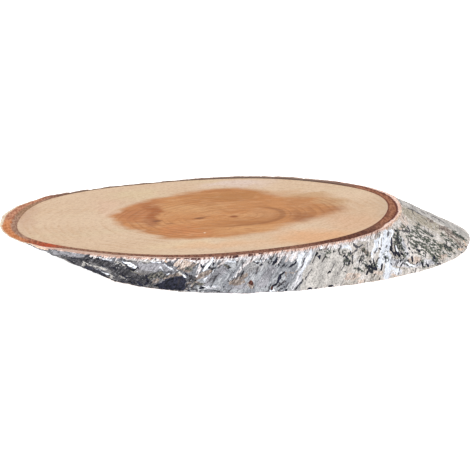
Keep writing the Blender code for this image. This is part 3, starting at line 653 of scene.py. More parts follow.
        (-56.9, -39.3, -54.2, -46.1, 0.58, 1.17), (-54.2, -46.1, -54.5, -49.9, 1.22, 0.52),
        (-34, -69.7, -41.7, -70.6, 1.74, 3.21), (-41.7, -70.6, -50.2, -71.3, 3.27, 3.14),
        (-50.2, -71.3, -55.8, -71.1, 3.14, 1.64), (-48.1, -75, -54.7, -77, 1.87, 2.2),
        (-54.7, -77, -60.5, -78.1, 2.2, 1.32), (-44, -63.7, -48.6, -64.6, 1.56, 1.42),
        (-90.2, 20.5, -88.4, 14, 0.67, 0.58), (-69, -16.8, -73.2, -15.5, 1.13, 0.88),
        (-97.7, 23.8, -108.4, 24.5, 0.32, 0.38), (-89.1, 8.8, -98.5, 10.2, 0.45, 0.52),
        (-91.5, -21, -89.8, -21.7, 0.41, 0.41), (-79.1, -2.7, -83.4, 3.2, 0.75, 0.52),
        (-139.5, 80.3, -138.1, 77.1, 1.01, 1.5), (-138.1, 77.1, -139.5, 73.5, 1.31, 1.34),
        (-126.7, 86.1, -122.6, 78.7, 0.58, 0.58), (-110.7, 58, -108.8, 53.7, 0.5, 0.63),
        (-111, 52.7, -113.3, 49, 0.47, 0.35), (-108.3, 50.6, -109.9, 44.5, 0.6, 0.38),
        (-53.7, -79.6, -54.2, -82.8, 1.06, 1.55), (-54.2, -82.8, -53.2, -85.4, 1.5, 1),
        (-36.6, -67.9, -32.2, -73.4, 0.94, 0.85), (-42.9, -63.3, -40.3, -66.4, 0.97, 1.1),
    ),
    "flap": (
        (-98.2, 38.9, -95.4, 32.5, 1.69, 1.69), (-94.7, 31.2, -101, 31.1, 1.14, 1.02),
        (-101, 31.1, -107.7, 30, 0.99, 0.48), (-90.5, 26.3, -93.4, 25.9, 0.81, 0.37),
        (-87, 19.5, -91.4, 21.2, 0.77, 0.87), (-91.4, 21.2, -95.3, 22.5, 0.87, 0.45),
        (-86.7, 17.8, -85.8, 14.2, 1.03, 1.03), (-85.8, 14.2, -88, 14, 1.03, 0.44),
        (-83.8, 12, -80.4, 4.9, 1.12, 1.25), (-81.3, 5.1, -85.8, 8, 1.3, 1.04),
        (-85.8, 8, -91.3, 9.2, 1, 0.58), (-91.3, 9.2, -97, 10.1, 0.58, 0.32),
        (-78, 0.8, -75, -4.6, 0.98, 0.98), (-77.7, -1.9, -81.6, -0.4, 0.88, 0.45),
        (-73.1, -9.7, -76.4, -9, 1.04, 0.85), (-76.4, -9, -80.3, -8.7, 0.84, 0.39),
        (-71.3, -11.7, -68.5, -16.5, 0.98, 1.22), (-71.9, -14.1, -75.5, -13.7, 1.43, 0.63),
        (-69.9, -17.5, -74.3, -16.5, 1.13, 0.76), (-67.3, -18.7, -63.7, -24.6, 1.24, 1.22),
        (-58.9, -33, -54.3, -41, 0.84, 0.89), (-52.2, -43.7, -48.5, -51, 0.89, 0.96),
        (-47.4, -52.9, -42.1, -63.1, 0.72, 0.73), (-92.8, 29.9, -95.7, 30.2, 0.74, 0.51),
        (-88.8, 23.4, -91.4, 23.9, 0.64, 0.39), (-128.1, 90.2, -126.9, 87.4, 1.03, 0.83),
        (-132.9, 99.5, -128.4, 93.5, 0.72, 0.69), (-139.2, 107.5, -133.3, 100.7, 0.75, 0.6),
    ),
    "crack": (
        (-69.7, -24, -76.6, -24, 0.26, 0.26), (-73.6, -30.5, -81, -30.1, 0.33, 0.39),
        (-80.8, -28.2, -88.1, -28, 0.33, 0.46), (-52.8, -53.2, -55.5, -51.2, 0.44, 0.38),
        (-62.2, -48.9, -67.2, -48.9, 0.41, 0.33), (-65.9, -42.9, -69.6, -42.9, 0.39, 0.39),
        (-55.5, -51.2, -57.7, -50.4, 0.33, 0.39), (-39.1, -64.6, -43.9, -65.4, 0.29, 0.28),
        (-46.9, -58.3, -53.4, -61.7, 0.29, 0.29), (-58.7, -59.3, -57, -58.2, 0.46, 0.39),
        (-88, 21, -95.2, 23, 0.29, 0.3), (-87.5, 9.4, -91.3, 8.6, 0.47, 0.33),
        (-92.6, 8.2, -97.8, 8.8, 0.32, 0.32), (-100.4, 11.8, -101.3, 11.7, 0.51, 0.51),
        (-79.4, 1.3, -83.6, 1.4, 0.23, 0.32), (-85.1, -0.4, -89.6, -0.6, 0.39, 0.52),
        (-107.6, 22.2, -104.9, 21.4, 0.41, 0.48), (-104.7, 21.5, -103.9, 20.1, 0.45, 0.45),
        (-103.9, 20.1, -105.2, 18.9, 0.36, 0.36), (-87.1, 2.7, -89.4, 2.6, 0.32, 0.32),
        (-69.7, -13.9, -71.1, -14.6, 0.25, 0.25), (-106.6, 19.7, -104.6, 19.2, 0.34, 0.34),
        (-93.6, 21.2, -96.3, 21.6, 0.32, 0.39), (1, -90.4, 0.1, -100.1, 0.85, 0.82),
        (14, -90.8, 14.2, -97.1, 0.88, 0.88), (7.8, -111, 5.7, -118.8, 1.1, 1.1),
        (-29.1, -78.8, -27.6, -82.3, 0.46, 0.47), (-27.6, -82.3, -26.5, -86.1, 0.52, 0.7),
        (-22, -85.3, -25.8, -86.4, 0.59, 0.63),
    ),
    "amber": (
        (-149, 121, -146.6, 114.8, 1.1, 2.5), (-146.6, 114.8, -145.6, 112.6, 2.5, 1.3),
        (-103.8, 53.2, -106.1, 51.5, 0.66, 0.66), (-8.8, -130.4, -13.2, -131.5, 0.6, 0.7),
        (-20.7, -124.8, -18, -128.1, 0.57, 0.74), (-32.9, -68.9, -20.1, -76.7, 0.5, 0.8),
        (-20.1, -76.7, -8, -81.9, 0.8, 0.7),
    ),
}

# The most that a place's depth inside a stroke counts, in mm
STROKE_REACH = 1.5
# The raised (or sunk) height of each kind, in mm
STROKE_HEIGHTS = {
    "mist": 0.05,
    "pale": 0.12,
    "white": 0.40,
    "olive": -0.15,
    "dusk": -0.25,
    "tan": -0.20,
    "blush": -0.10,
    "black_and_shadow": -0.70,
    "rust": -0.35,
    "silver": 0.05,
    "frost": 0.25,
    "flap": 0.30,
    "crack": -0.40,
}

# Parts of the bark's sawn ring with a colour of their own: middle and half width, in degrees
RING_PARTS = {
    "orange": (176, 36),
    "red": (-144, 6),
    "sunny": (-171, 17),
    "ochre": (157, 10),
    "ruddy": (10, 38),
    "wine": (-48, 12),
    "thin": (84, 50),
    "faded": (-128, 14),
    "scorched": (-149, 9),
}
RING_PART_FADE = 8.0
# Where the brown inner bark shows over the rim: middle and half width in degrees, and depth in mm
LIP_PARTS = ((-93, 9, 1.6), (-82, 5, 1.1), (-112, 8, 0.2), (151, 5, 0.5))
LIP_CHANGE = 0.30
# Where the pale outer paper takes a larger share of the ring: middle and half width in degrees, and share
PAPER_PARTS = (
    (-130, 20, 0.40),
    (-43, 10, -0.12),
    (-28, 7, 0.20),
    (14, 20, 0.21),
    (-144, 5, -0.10),
    (-153, 7, -0.06),
    (-88, 7, -0.08),
    (-75, 9, -0.06),
    (165, 16, 0.05),
    (180, 14, 0.04),
)
PAPER_SHARE = 0.10
# How far under the upper face the bark's colour still depends on that distance, in mm
BELOW_MOST = 3.0
# The fringe of torn paper under the upper rim: its depth, how much that changes over short and long
# stretches, and where it is shorter or deeper: middle and half width in degrees, and share
FRINGE_DEPTH = 0.0019
FRINGE_SHORT_CHANGE = 0.0015
FRINGE_LONG_CHANGE = 0.0009
FRINGE_FADE = 0.0008
FRINGE_LIFT = 0.0002
FRINGE_PARTS = ((-128, 8, -0.7), (-150, 4.5, 1.1))


def angle_between(angle, other):
    return (angle - other + math.pi) % (2 * math.pi) - math.pi


def smooth_log_radius(angle, along):
    """The barked log's radius with its lobes but without relief, for arrays of angles and distances."""
    share = np.clip(share_of_height(height_at(angle, LOG_RADIUS, along)), -1.0, 1.0)
    return LOG_RADIUS + lobes_at(LOG_LOBES, angle) + share * lobes_at(DRIFT_LOBES, angle)


def bark_noise(angle, along, size_around, size_along, layer):
    """Smooth noise from about -1 to 1, with lumps of this size around and along the log."""
    across = LOG_RADIUS * np.cos(angle) / size_around
    up = LOG_RADIUS * np.sin(angle) / size_around + 10.0 * layer
    points = zip(across.tolist(), up.tolist(), (along / size_along).tolist())
    return 1.6 * np.array([noise.noise(Vector(point)) for point in points])


def soft_step(value, low, high):
    share = np.clip((value - low) / (high - low), 0.0, 1.0)
    return share * share * (3.0 - 2.0 * share)


def loose_fissures():
    """Short cuts in the outer bark, all over it, in radians and metres."""
    draw = random.Random(11)
    fissures = []
    for _ in range(LOOSE_FISSURES):
        angle = math.radians(draw.uniform(-180.0, 180.0))
        place = along_at(angle, LOG_RADIUS, draw.uniform(0.0, SLICE_THICKNESS))
        length = draw.uniform(0.002, 0.009)
        width = draw.uniform(0.0006, 0.0013)
        fissures.append((angle, place, length, width, draw.uniform(0.0002, 0.0007)))
    return fissures


def fissure_cuts(angle, along):
    """How deep the loose fissures cut at each place, and how dark they are there, from 0 to 1."""
    cut = np.zeros(len(angle))
    groove = np.zeros(len(angle))
    for centre, place, length, width, depth in loose_fissures():
        off_angle = np.abs(angle_between(angle, centre)) * LOG_RADIUS
        near = np.nonzero((np.abs(along - place) < width) & (off_angle < length))[0]
        around = off_angle[near] / (length / 2)
        half = width / 2 * np.sqrt(np.clip(1.0 - around**2, 0.0, 1.0)) + 1e-9
        share = np.clip(1.0 - np.abs(along[near] - place) / half, 0.0, 1.0)
        cut[near] = np.maximum(cut[near], share * depth)
        groove[near] = np.maximum(groove[near], share * min(1.0, depth / DEEP_FISSURE))
    return cut, groove


def stroke_field(angle, along, strokes):
    """How deep each place lies inside these strokes, in mm: negative outside them, kept within limits."""
    field = np.full(len(angle), -STROKE_REACH)
    for first_angle, first_along, last_angle, last_along, first_width, last_width in strokes:
        middle = math.radians((first_angle + last_angle) / 2)
        around = LOG_RADIUS * angle_between(angle, middle) / MM
        ahead = along / MM - (first_along + last_along) / 2
        run = LOG_RADIUS * math.radians(last_angle - first_angle) / MM
        rise = last_along - first_along
        share = np.clip((around * run + ahead * rise) / (run * run + rise * rise) + 0.5, 0.0, 1.0)
        off_line = np.hypot(around - (share - 0.5) * run, ahead - (share - 0.5) * rise)
        field = np.maximum(field, first_width + (last_width - first_width) * share - off_line)
    return np.minimum(field, STROKE_REACH)


def stroke_masks(angle, bent_angle, bent_along):
    """For each kind of surface, how deep each place lies inside its strokes, at the front and the back."""
    behind = bent_angle > MIRROR_ANGLE
    front_angle = np.where(behind, -bent_angle - MIRROR_TURN, bent_angle)
    front_along = np.where(behind, bent_along + MIRROR_SHIFT, bent_along)
    fade = 1.0 - soft_step(np.abs(angle - MIRROR_ANGLE), 0.0, MIRROR_FADE)
    fade = np.maximum(fade, soft_step(angle, math.pi - SEAM_FADE, math.pi))
    masks = {}
    for kind, strokes in BARK_STROKES.items():
        masks[kind] = stroke_field(front_angle, front_along, strokes) - 2 * STROKE_REACH * fade
    return masks


def bark_layers(angle, along):
    """The bark's relief, and for each kind of surface how deep each place lies inside it."""
    bent_angle = angle
    bent_along = along
    for bend, size_around, size_along, layer in STROKE_BENDS:
        bent_angle = bent_angle + bark_noise(angle, along, size_around, size_along, layer) * bend / LOG_RADIUS
        bent_along = bent_along + bark_noise(angle, along, size_around, size_along, layer + 1) * bend
    masks = stroke_masks(angle, bent_angle, bent_along)
    cut, masks["fissure"] = fissure_cuts(bent_angle, bent_along)

    relief = BARK_SWELL * bark_noise(angle, along, 0.034, 0.034, 0)
    relief += PLATE_HEIGHT * np.round(3 * bark_noise(angle, along, 0.028, 0.008, 1)) / 3
    relief += FLAKE_HEIGHT * np.round(3 * bark_noise(angle, along, 0.012, 0.0022, 2)) / 3
    relief += GRAIN_HEIGHT * bark_noise(angle, along, 0.003, 0.0014, 3)
    rough = soft_step(np.maximum(masks["dusk"], masks["olive"]), -0.5, 0.5)
    relief += ROUGH_HEIGHT * rough * bark_noise(angle, along, 0.0035, 0.003, 4)
    worms = soft_step(masks["lichen"], -0.5, 0.5)
    relief += LICHEN_HEIGHT * worms * np.clip(bark_noise(angle, along, 0.0022, 0.0016, 5), -0.4, 1.0)
    for kind, height in STROKE_HEIGHTS.items():
        relief += height * MM * soft_step(masks[kind], -0.15, 0.45)
    relief -= cut
    relief *= 0.35 + 0.65 * soft_step(np.abs(angle), 0.6, 1.2) * (1.0 - soft_step(np.abs(angle), 2.6, 3.1))
    return relief, masks


def mask_of(tree, name):
    """How deep the surface lies inside one kind of mark, as the bark's mesh holds it."""
    return add_node(tree, "ShaderNodeAttribute", attribute_name=name).outputs["Fac"]


def frayed(tree, name, grit, wobble):
    """A mask shifted to and fro by the grit, so that the border it draws is frayed."""
    return plus(tree, mask_of(tree, name), times(tree, minus(tree, grit, 0.5), wobble))


def torn_paper_colour(tree, grit, bands):
    """The fringe under the upper rim: pink at its root, white at its tips, with brown painted shade between
    the flaps.
    """
    tips = two_tone(tree, bands, (196, 186, 184), (244, 240, 242), 0.42, 0.58)
    root = two_tone(tree, bands, (208, 166, 148), (240, 210, 196), 0.42, 0.58)
    torn = blend(tree, ramp(tree, frayed(tree, "below", grit, 3.0), 0.2, 1.8), root, tips)
    # Brown bands: painted shade between the torn flaps
    return blend(tree, ramp(tree, bands, 0.37, 0.41, 0.7, 0.0), torn, srgb(112, 84, 78))


def sawn_ring_colour(tree, grit, blotch):
    """The bark on both sawn faces: brown inner bark of several tones, and pale paper outside it."""
    depth = frayed(tree, "section", grit, 0.4)

    def part(name, strength):
        return times(tree, mask_of(tree, name), strength)

    ring = two_tone(tree, grit, (100, 62, 46), (146, 100, 80), 0.38, 0.62)
    ruddy = two_tone(tree, grit, (120, 70, 46), (168, 112, 84), 0.36, 0.64)
    ring = blend(tree, mask_of(tree, "ruddy"), ring, ruddy)
    ring = blend(tree, mask_of(tree, "wine"), ring, two_tone(tree, grit, (76, 36, 26), (110, 64, 46)))
    ring = blend(tree, ramp(tree, blotch, 0.34, 0.42, 0.3, 0.0), ring, srgb(66, 38, 34))

    outer = two_tone(tree, grit, (160, 100, 74), (202, 146, 116))
    sunny = two_tone(tree, grit, (178, 106, 60), (212, 142, 96))
    outer = blend(tree, mask_of(tree, "sunny"), outer, sunny)
    inner = two_tone(tree, grit, (140, 104, 84), (180, 142, 120))
    ochre = two_tone(tree, grit, (136, 102, 74), (168, 130, 102))
    inner = blend(tree, mask_of(tree, "ochre"), inner, ochre)
    left_ring = blend(tree, ramp(tree, depth, 0.54, 0.72), outer, inner)
    ring = blend(tree, mask_of(tree, "orange"), ring, left_ring)
    scorched = two_tone(tree, grit, (112, 52, 26), (184, 108, 74))
    ring = blend(tree, part("scorched", 0.8), ring, scorched)
    ring = blend(tree, part("red", ramp(tree, grit, 0.4, 0.6, 0.35, 0.9)), ring, srgb(186, 64, 24))
    thin_ring = two_tone(tree, depth, (158, 138, 124), (96, 76, 64), 0.35, 0.60)
    ring = blend(tree, part("thin", 0.85), ring, thin_ring)
    faded = two_tone(tree, grit, (116, 80, 62), (156, 116, 92))
    ring = blend(tree, part("faded", 0.85), ring, faded)

    paper = two_tone(tree, grit, (223, 181, 164), (246, 220, 207))
    cream_paper = two_tone(tree, grit, (214, 188, 162), (244, 234, 214))
    paper = blend(tree, mask_of(tree, "orange"), paper, cream_paper)
    paper = blend(tree, part("faded", 0.6), paper, srgb(176, 144, 124))

    past_paper = minus(tree, depth, mask_of(tree, "paper"))
    outer_line = ramp(tree, past_paper, 0.13, 0.25, 1.0, 0.0)
    inner_line = ramp(tree, mask_of(tree, "section"), 0.84, 0.92, 0.0, 0.7)
    dark_line = part("ruddy", math_of(tree, "MAXIMUM", outer_line, inner_line))
    ring = blend(tree, dark_line, ring, srgb(100, 50, 38))
    return blend(tree, ramp(tree, past_paper, -0.03, 0.04), paper, ring)


def plain_bark_colour(tree, place, blotch, slant_bands, cone):
    """The bark's ground: grey in the middle, cream and pale towards the long end, dark at the other."""
    along = add_node(tree, "ShaderNodeSeparateXYZ", {0: place}).outputs[2]
    clouds = noise_at(tree, stretched(tree, place, (0.8, 0.8, 1.0)), 40.0, 3.0)
    grey = two_tone(tree, blotch, (134, 136, 142), (178, 180, 184), 0.38, 0.62)
    cream = two_tone(tree, blotch, (182, 174, 166), (222, 216, 212), 0.38, 0.62)
    dark = two_tone(tree, blotch, (60, 61, 66), (116, 116, 122), 0.38, 0.62)
    pale_cone = two_tone(tree, blotch, (196, 188, 180), (231, 224, 219), 0.38, 0.62)
    colour = blend(tree, ramp(tree, along, -0.046, -0.026, 1.0, 0.0), grey, cream)
    colour = blend(tree, ramp(tree, along, 0.026, 0.040), colour, dark)
    colour = blend(tree, ramp(tree, clouds, 0.45, 0.7, 0.0, 0.35), colour, srgb(178, 168, 156))
    colour = blend(tree, cone, colour, pale_cone)
    return blend(tree, ramp(tree, slant_bands, 0.58, 0.62, 0.0, 0.5), colour, srgb(230, 230, 234))


def bark_material():
    material, tree, shader = new_material("birch bark", 0.75)
    place = log_place(tree)
    along = add_node(tree, "ShaderNodeSeparateXYZ", {0: place}).outputs[2]
    fine = noise_at(tree, stretched(tree, place, (0.8, 0.8, 1.3)), 1150.0, 2.0, 0.6)
    grit = noise_at(tree, stretched(tree, place, (0.6, 0.6, 1.5)), 560.0, 4.0, 0.7)
    bands = noise_at(tree, stretched(tree, place, (0.20, 0.20, 1.5)), 560.0, 3.0, 0.65)
    blotch = noise_at(tree, stretched(tree, place, (0.6, 0.6, 1.4)), 150.0, 4.0, 0.65)
    drawn = noise_at(tree, stretched(tree, place, (1.5, 1.5, 0.32)), 520.0, 3.0, 0.65)
    cone = ramp(tree, along, -0.092, -0.068, 1.0, 0.0)
    slant_bands = add_node(tree, "ShaderNodeMix", {0: cone, 2: bands, 3: drawn}).outputs[0]

    def over(colour, name, low_colour, high_colour, grain=grit, wobble=1.0):
        """Lays one kind of surface over the rest, with a frayed border and two tones of its own."""
        tones = two_tone(tree, grain, low_colour, high_colour, 0.38, 0.62)
        return blend(tree, ramp(tree, frayed(tree, name, grit, wobble * 2.2), -0.10, 0.12), colour, tones)

    colour = plain_bark_colour(tree, place, blotch, slant_bands, cone)
    colour = over(colour, "beige", (188, 177, 164), (222, 214, 205))
    colour = over(colour, "sand", (166, 157, 141), (196, 186, 171))
    colour = over(colour, "mist", (126, 126, 131), (168, 166, 172), blotch)
    colour = over(colour, "pale", (188, 188, 194), (230, 228, 232), bands)
    colour = over(colour, "tan", (112, 100, 94), (168, 154, 144))
    colour = over(colour, "blush", (194, 172, 158), (228, 214, 204))
    colour = over(colour, "olive", (64, 64, 60), (136, 132, 122), bands)
    colour = over(colour, "dusk", (26, 26, 32), (90, 88, 92), bands)
    colour = blend(tree, ramp(tree, slant_bands, 0.37, 0.41, 0.6, 0.0), colour, srgb(74, 74, 78))
    colour = blend(tree, ramp(tree, grit, 0.61, 0.65, 0.0, 0.6), colour, srgb(236, 236, 240))
    colour = over(colour, "silver", (176, 172, 168), (206, 201, 196), blotch, 0.8)
    colour = over(colour, "frost", (206, 211, 221), (238, 241, 247))

    worms = noise_at(tree, stretched(tree, place, (1.3, 1.3, 0.75)), 560.0, 2.0, 0.6)
    worm_lines = ramp(tree, worms, 0.50, 0.54, 0.95, 0.0)
    lichen = times(tree, ramp(tree, mask_of(tree, "lichen"), -0.8, 0.6), worm_lines)
    colour = blend(tree, lichen, colour, two_tone(tree, fine, (38, 46, 44), (96, 102, 90), 0.35, 0.6))

    flecks = noise_at(tree, stretched(tree, place, (0.7, 0.7, 1.2)), 800.0, 2.0, 0.6)
    speckle = ramp(tree, mask_of(tree, "speckle"), -0.8, 0.6)
    colour = blend(tree, times(tree, speckle, ramp(tree, flecks, 0.53, 0.57)), colour, srgb(36, 38, 46))

    fringe = ramp(tree, frayed(tree, "fringe", grit, 1.0), 0.44, 0.56)
    flap = ramp(tree, frayed(tree, "flap", grit, 1.2), -0.10, 0.12)
    torn_share = math_of(tree, "MAXIMUM", fringe, flap)
    colour = blend(tree, torn_share, colour, torn_paper_colour(tree, grit, bands))
    lip = ramp(tree, mask_of(tree, "lip"), -0.05, 0.10)
    colour = blend(tree, lip, colour, two_tone(tree, grit, (76, 46, 44), (122, 86, 78)))
    colour = over(colour, "amber", (212, 174, 146), (236, 210, 188), grit, 0.8)
    colour = over(colour, "white", (226, 234, 250), (255, 255, 255), fine, 0.4)
    colour = over(colour, "crack", (58, 58, 66), (112, 108, 110), grit, 0.4)
    # Near-black over the black bark marks and over the painted shadows under the white flakes
    colour = over(colour, "black_and_shadow", (0, 1, 10), (52, 54, 72), grit, 0.6)
    colour = over(colour, "rust", (66, 40, 38), (112, 70, 58), fine, 0.4)
    colour = blend(tree, ramp(tree, mask_of(tree, "fissure"), 0.15, 0.5, 0.0, 0.85), colour, srgb(58, 54, 58))

    white = ramp(tree, mask_of(tree, "white"), -0.1, 0.3)
    frost = ramp(tree, mask_of(tree, "frost"), 0.0, 0.5, 0.0, 0.6)
    clean = math_of(tree, "MAXIMUM", white, frost)
    specks = ramp(tree, fine, 0.34, 0.60, 0.58, 1.06)
    grain = add_node(tree, "ShaderNodeMix", {0: clean, 2: specks, 3: 1.0}).outputs[0]
    grained = {0: colour, "Scale": grain}
    colour = add_node(tree, "ShaderNodeVectorMath", grained, operation="SCALE").outputs["Vector"]

    on_saw_cut = ramp(tree, mask_of(tree, "section"), 0.001, 0.02)
    colour = blend(tree, on_saw_cut, colour, sawn_ring_colour(tree, grit, blotch))
    tree.links.new(colour, shader.inputs["Base Color"])
    set_bump(tree, shader, plus(tree, fine, grit), 0.0003, 0.6)
    return material


def keep_largest(mesh):
    """Drops each scrap of surface that the saw freed from the rest."""
    left = set(mesh.verts)
    bodies = []
    while left:
        reached = {left.pop()}
        front = list(reached)
        while front:
            vert = front.pop()
            near = {edge.other_vert(vert) for edge in vert.link_edges} & left
            left -= near
            reached |= near
            front.extend(near)
        bodies.append(reached)
    bodies.sort(key=len)
    bmesh.ops.delete(mesh, geom=[vert for body in bodies[:-1] for vert in body], context="VERTS")


def rim_loops(mesh, height):
    """The open edges on a saw plane, as one list for each closed loop, the longest last."""
    open_edges = {edge for edge in mesh.edges if edge.is_boundary and abs(edge.verts[0].co.z - height) < 1e-7}
    loops = []
    while open_edges:
        found = [open_edges.pop()]
        front = list(found[0].verts)
        while front:
            near = [edge for edge in front.pop().link_edges if edge in open_edges]
            for edge in near:
                open_edges.discard(edge)
                found.append(edge)
                front.extend(edge.verts)
        loops.append(found)
    return sorted(loops, key=len)


def angle_of(place):
    """The angle around the log of a place in the slice's frame."""
    from_middle = place - LOG_MIDDLE
    return math.atan2(from_middle.dot(LOG_FAR_SIDE), from_middle.dot(LOG_UP_SIDE))


def radius_of(place):
    from_middle = place - LOG_MIDDLE
    return math.hypot(from_middle.dot(LOG_FAR_SIDE), from_middle.dot(LOG_UP_SIDE))


def steady_angles(edges):
    """For each vertex round the rim, its angle, and that angle held still where the rim doubles back."""
    left = set(edges)
    vert = edges[0].verts[0]
    order = []
    while near := [edge for edge in vert.link_edges if edge in left]:
        left.discard(near[0])
        order.append(vert)
        vert = near[0].other_vert(vert)
    turns = np.unwrap([angle_of(vert.co) for vert in order])
    if turns[-1] < turns[0]:
        order.reverse()
        turns = turns[::-1]
    held = np.minimum(np.maximum.accumulate(turns), turns[0] + 2 * math.pi)
    return {vert: (own, steady) for vert, own, steady in zip(order, turns, held)}


def saw_bark_face(mesh, height, layers):
    """Closes the sawn bark on one face with rings that run in from its outer edge to the wood."""
    loops = rim_loops(mesh, height)
    for small in loops[:-1]:
        bmesh.ops.holes_fill(mesh, edges=small, sides=0)
    edges = loops[-1]
    rim_of = {vert: (radius_of(vert.co), *turns) for vert, turns in steady_angles(edges).items()}
    for share in (0.03, 0.15, 0.45, 0.75, 1.0):
        made = bmesh.ops.extrude_edge_only(mesh, edges=edges)["geom"]
        edges = [thing for thing in made if isinstance(thing, bmesh.types.BMEdge)]
        ring = {}
        for vert in {vert for edge in edges for vert in edge.verts}:
            near = [edge.other_vert(vert) for edge in vert.link_edges]
            ring[vert] = next(rim_of[other] for other in near if other in rim_of)
        for vert, (rim_radius, own_angle, held_angle) in ring.items():
            angle = own_angle + (held_angle - own_angle) * share
            if share == 1.0:
                angle = round(angle / WOOD_TURN) * WOOD_TURN
            inner = wood_radius(angle, height) + BARK_GAP
            radius = rim_radius * (1.0 - share) + inner * share
            vert.co = place_on_log(angle, radius, along_at(angle, radius, height))
            vert[layers["section"]] = share
            vert[layers["fringe"]] = 0.0
            turn = math.degrees(angle_between(angle, 0.0))
            vert[layers["paper"]] = PAPER_SHARE + humps_at(PAPER_PARTS, turn)
            for part, (middle, half) in RING_PARTS.items():
                off = abs(math.degrees(angle_between(angle, math.radians(middle))))
                vert[layers[part]] = min(1.0, max(0.0, (half - off) / RING_PART_FADE + 0.5))
        rim_of = ring
    bmesh.ops.remove_doubles(mesh, verts=list(rim_of), dist=0.000005)
    inner_ring = {vert for vert in rim_of if vert.is_valid}
    return [edge for edge in mesh.edges if edge.is_boundary and inner_ring.issuperset(edge.verts)]


def bark_sheet(mesh):
    """Fills the mesh with a flat sheet of bark for the whole log, cut to the slant of the slice."""
    rows = math.ceil(2 * HALF_LOG / BARK_STEP)
    bmesh.ops.create_grid(mesh, x_segments=BARK_COLUMNS, y_segments=rows, size=0.5)
    flat = np.array([vert.co[:2] for vert in mesh.verts])
    angle = flat[:, 0] * 2 * math.pi
    along = flat[:, 1] * 2 * HALF_LOG
    mean = LOG_RADIUS + lobes_at(LOG_LOBES, angle)
    drift = lobes_at(DRIFT_LOBES, angle)
    low = along_at(angle, mean - drift, 0.0) - BARK_MARGIN
    high = along_at(angle, mean + drift, SLICE_THICKNESS) + BARK_MARGIN
    outside = (along < low) | (along > high)
    beyond = [vert for vert, far in zip(mesh.verts, outside) if far]
    bmesh.ops.delete(mesh, geom=beyond, context="VERTS")
    return angle[~outside], along[~outside]


def rim_masks(angle, along, radius):
    """The marks that follow the upper rim: the distance below it, the torn fringe and the brown lips."""
    below = SLICE_THICKNESS - height_at(angle, radius, along)
    turn = np.degrees(angle)
    ragged = FRINGE_DEPTH + FRINGE_SHORT_CHANGE * bark_noise(angle, along, 0.008, 0.0013, 8)
    ragged += FRINGE_LONG_CHANGE * bark_noise(angle, along, 0.02, 0.02, 9)
    ragged *= 0.12 + 0.88 * soft_step(np.abs(angle), 0.45, 0.85) * (1.0 - soft_step(np.abs(angle), 2.0, 2.3))
    for part in FRINGE_PARTS:
        ragged *= 1.0 + humps_at((part,), turn)
    lip = humps_at(LIP_PARTS, turn)
    lip += LIP_CHANGE * bark_noise(angle, along, 0.006, 0.0012, 10)
    masks = {"below": np.minimum(below / MM, BELOW_MOST)}
    masks["fringe"] = 1.0 - soft_step(below, ragged, ragged + FRINGE_FADE)
    masks["lip"] = np.clip(lip - masks["below"], -1.0, 1.0)
    return masks


def saw_bark_off(mesh):
    """Cuts the bark on both saw planes and drops what is beyond them."""
    for height, side in ((SLICE_THICKNESS, "upper"), (0.0, "lower")):
        geometry = mesh.verts[:] + mesh.edges[:] + mesh.faces[:]
        bmesh.ops.bisect_plane(
            mesh,
            geom=geometry,
            dist=0.00004,
            plane_co=(0.0, 0.0, height),
            plane_no=(0.0, 0.0, 1.0),
            clear_outer=side == "upper",
            clear_inner=side == "lower",
        )
    for vert in mesh.verts:
        for height in (0.0, SLICE_THICKNESS):
            if abs(vert.co.z - height) < 0.00005:
                vert.co.z = height
    keep_largest(mesh)


def make_bark():
    """A sheet of bark rolled round the log, sawn on both faces and closed against the wood."""
    mesh = bmesh.new()
    angle, along = bark_sheet(mesh)
    relief, masks = bark_layers(angle, along)
    radius = smooth_log_radius(angle, along) + relief
    masks.update(rim_masks(angle, along, radius))
    radius += FRINGE_LIFT * masks["fringe"]
    layers = {}
    for name in (*masks, "section", "paper", *RING_PARTS):
        layers[name] = mesh.verts.layers.float.new(name)
    for number, vert in enumerate(mesh.verts):
        vert.co = place_on_log(angle[number], radius[number], along[number])
    for name, values in masks.items():
        layer = layers[name]
        for vert, value in zip(mesh.verts, values):
            vert[layer] = value
    seam = [vert for vert, turn in zip(mesh.verts, angle) if abs(turn) > math.pi - 1e-4]
    bmesh.ops.remove_doubles(mesh, verts=seam, dist=0.000001)

    saw_bark_off(mesh)
    upper = saw_bark_face(mesh, SLICE_THICKNESS, layers)
    lower = saw_bark_face(mesh, 0.0, layers)
    made = bmesh.ops.extrude_edge_only(mesh, edges=upper)["geom"]
    wall = [thing for thing in made if isinstance(thing, bmesh.types.BMVert)]
    for vert in wall:
        angle = angle_of(vert.co)
        radius = wood_radius(angle, 0.0) + BARK_GAP
        vert.co = place_on_log(angle, radius, along_at(angle, radius, 0.0))
    ends = {vert for edge in lower for vert in edge.verts}
    bmesh.ops.remove_doubles(mesh, verts=wall + list(ends), dist=0.00001)
    return finish_mesh(mesh, "bark", [bark_material()])


bark = make_bark()
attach(bark, "root")
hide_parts("birch_slice")

# The torn paper
# The real pieces are the ends of the bark's outer paper, which the saw tore along the upper rim:
# thin slivers that hang from the bark and lie over its fissures. They are part of it, as it grew.

SHREDS = 190
SHRED_THICKNESS = 0.00014


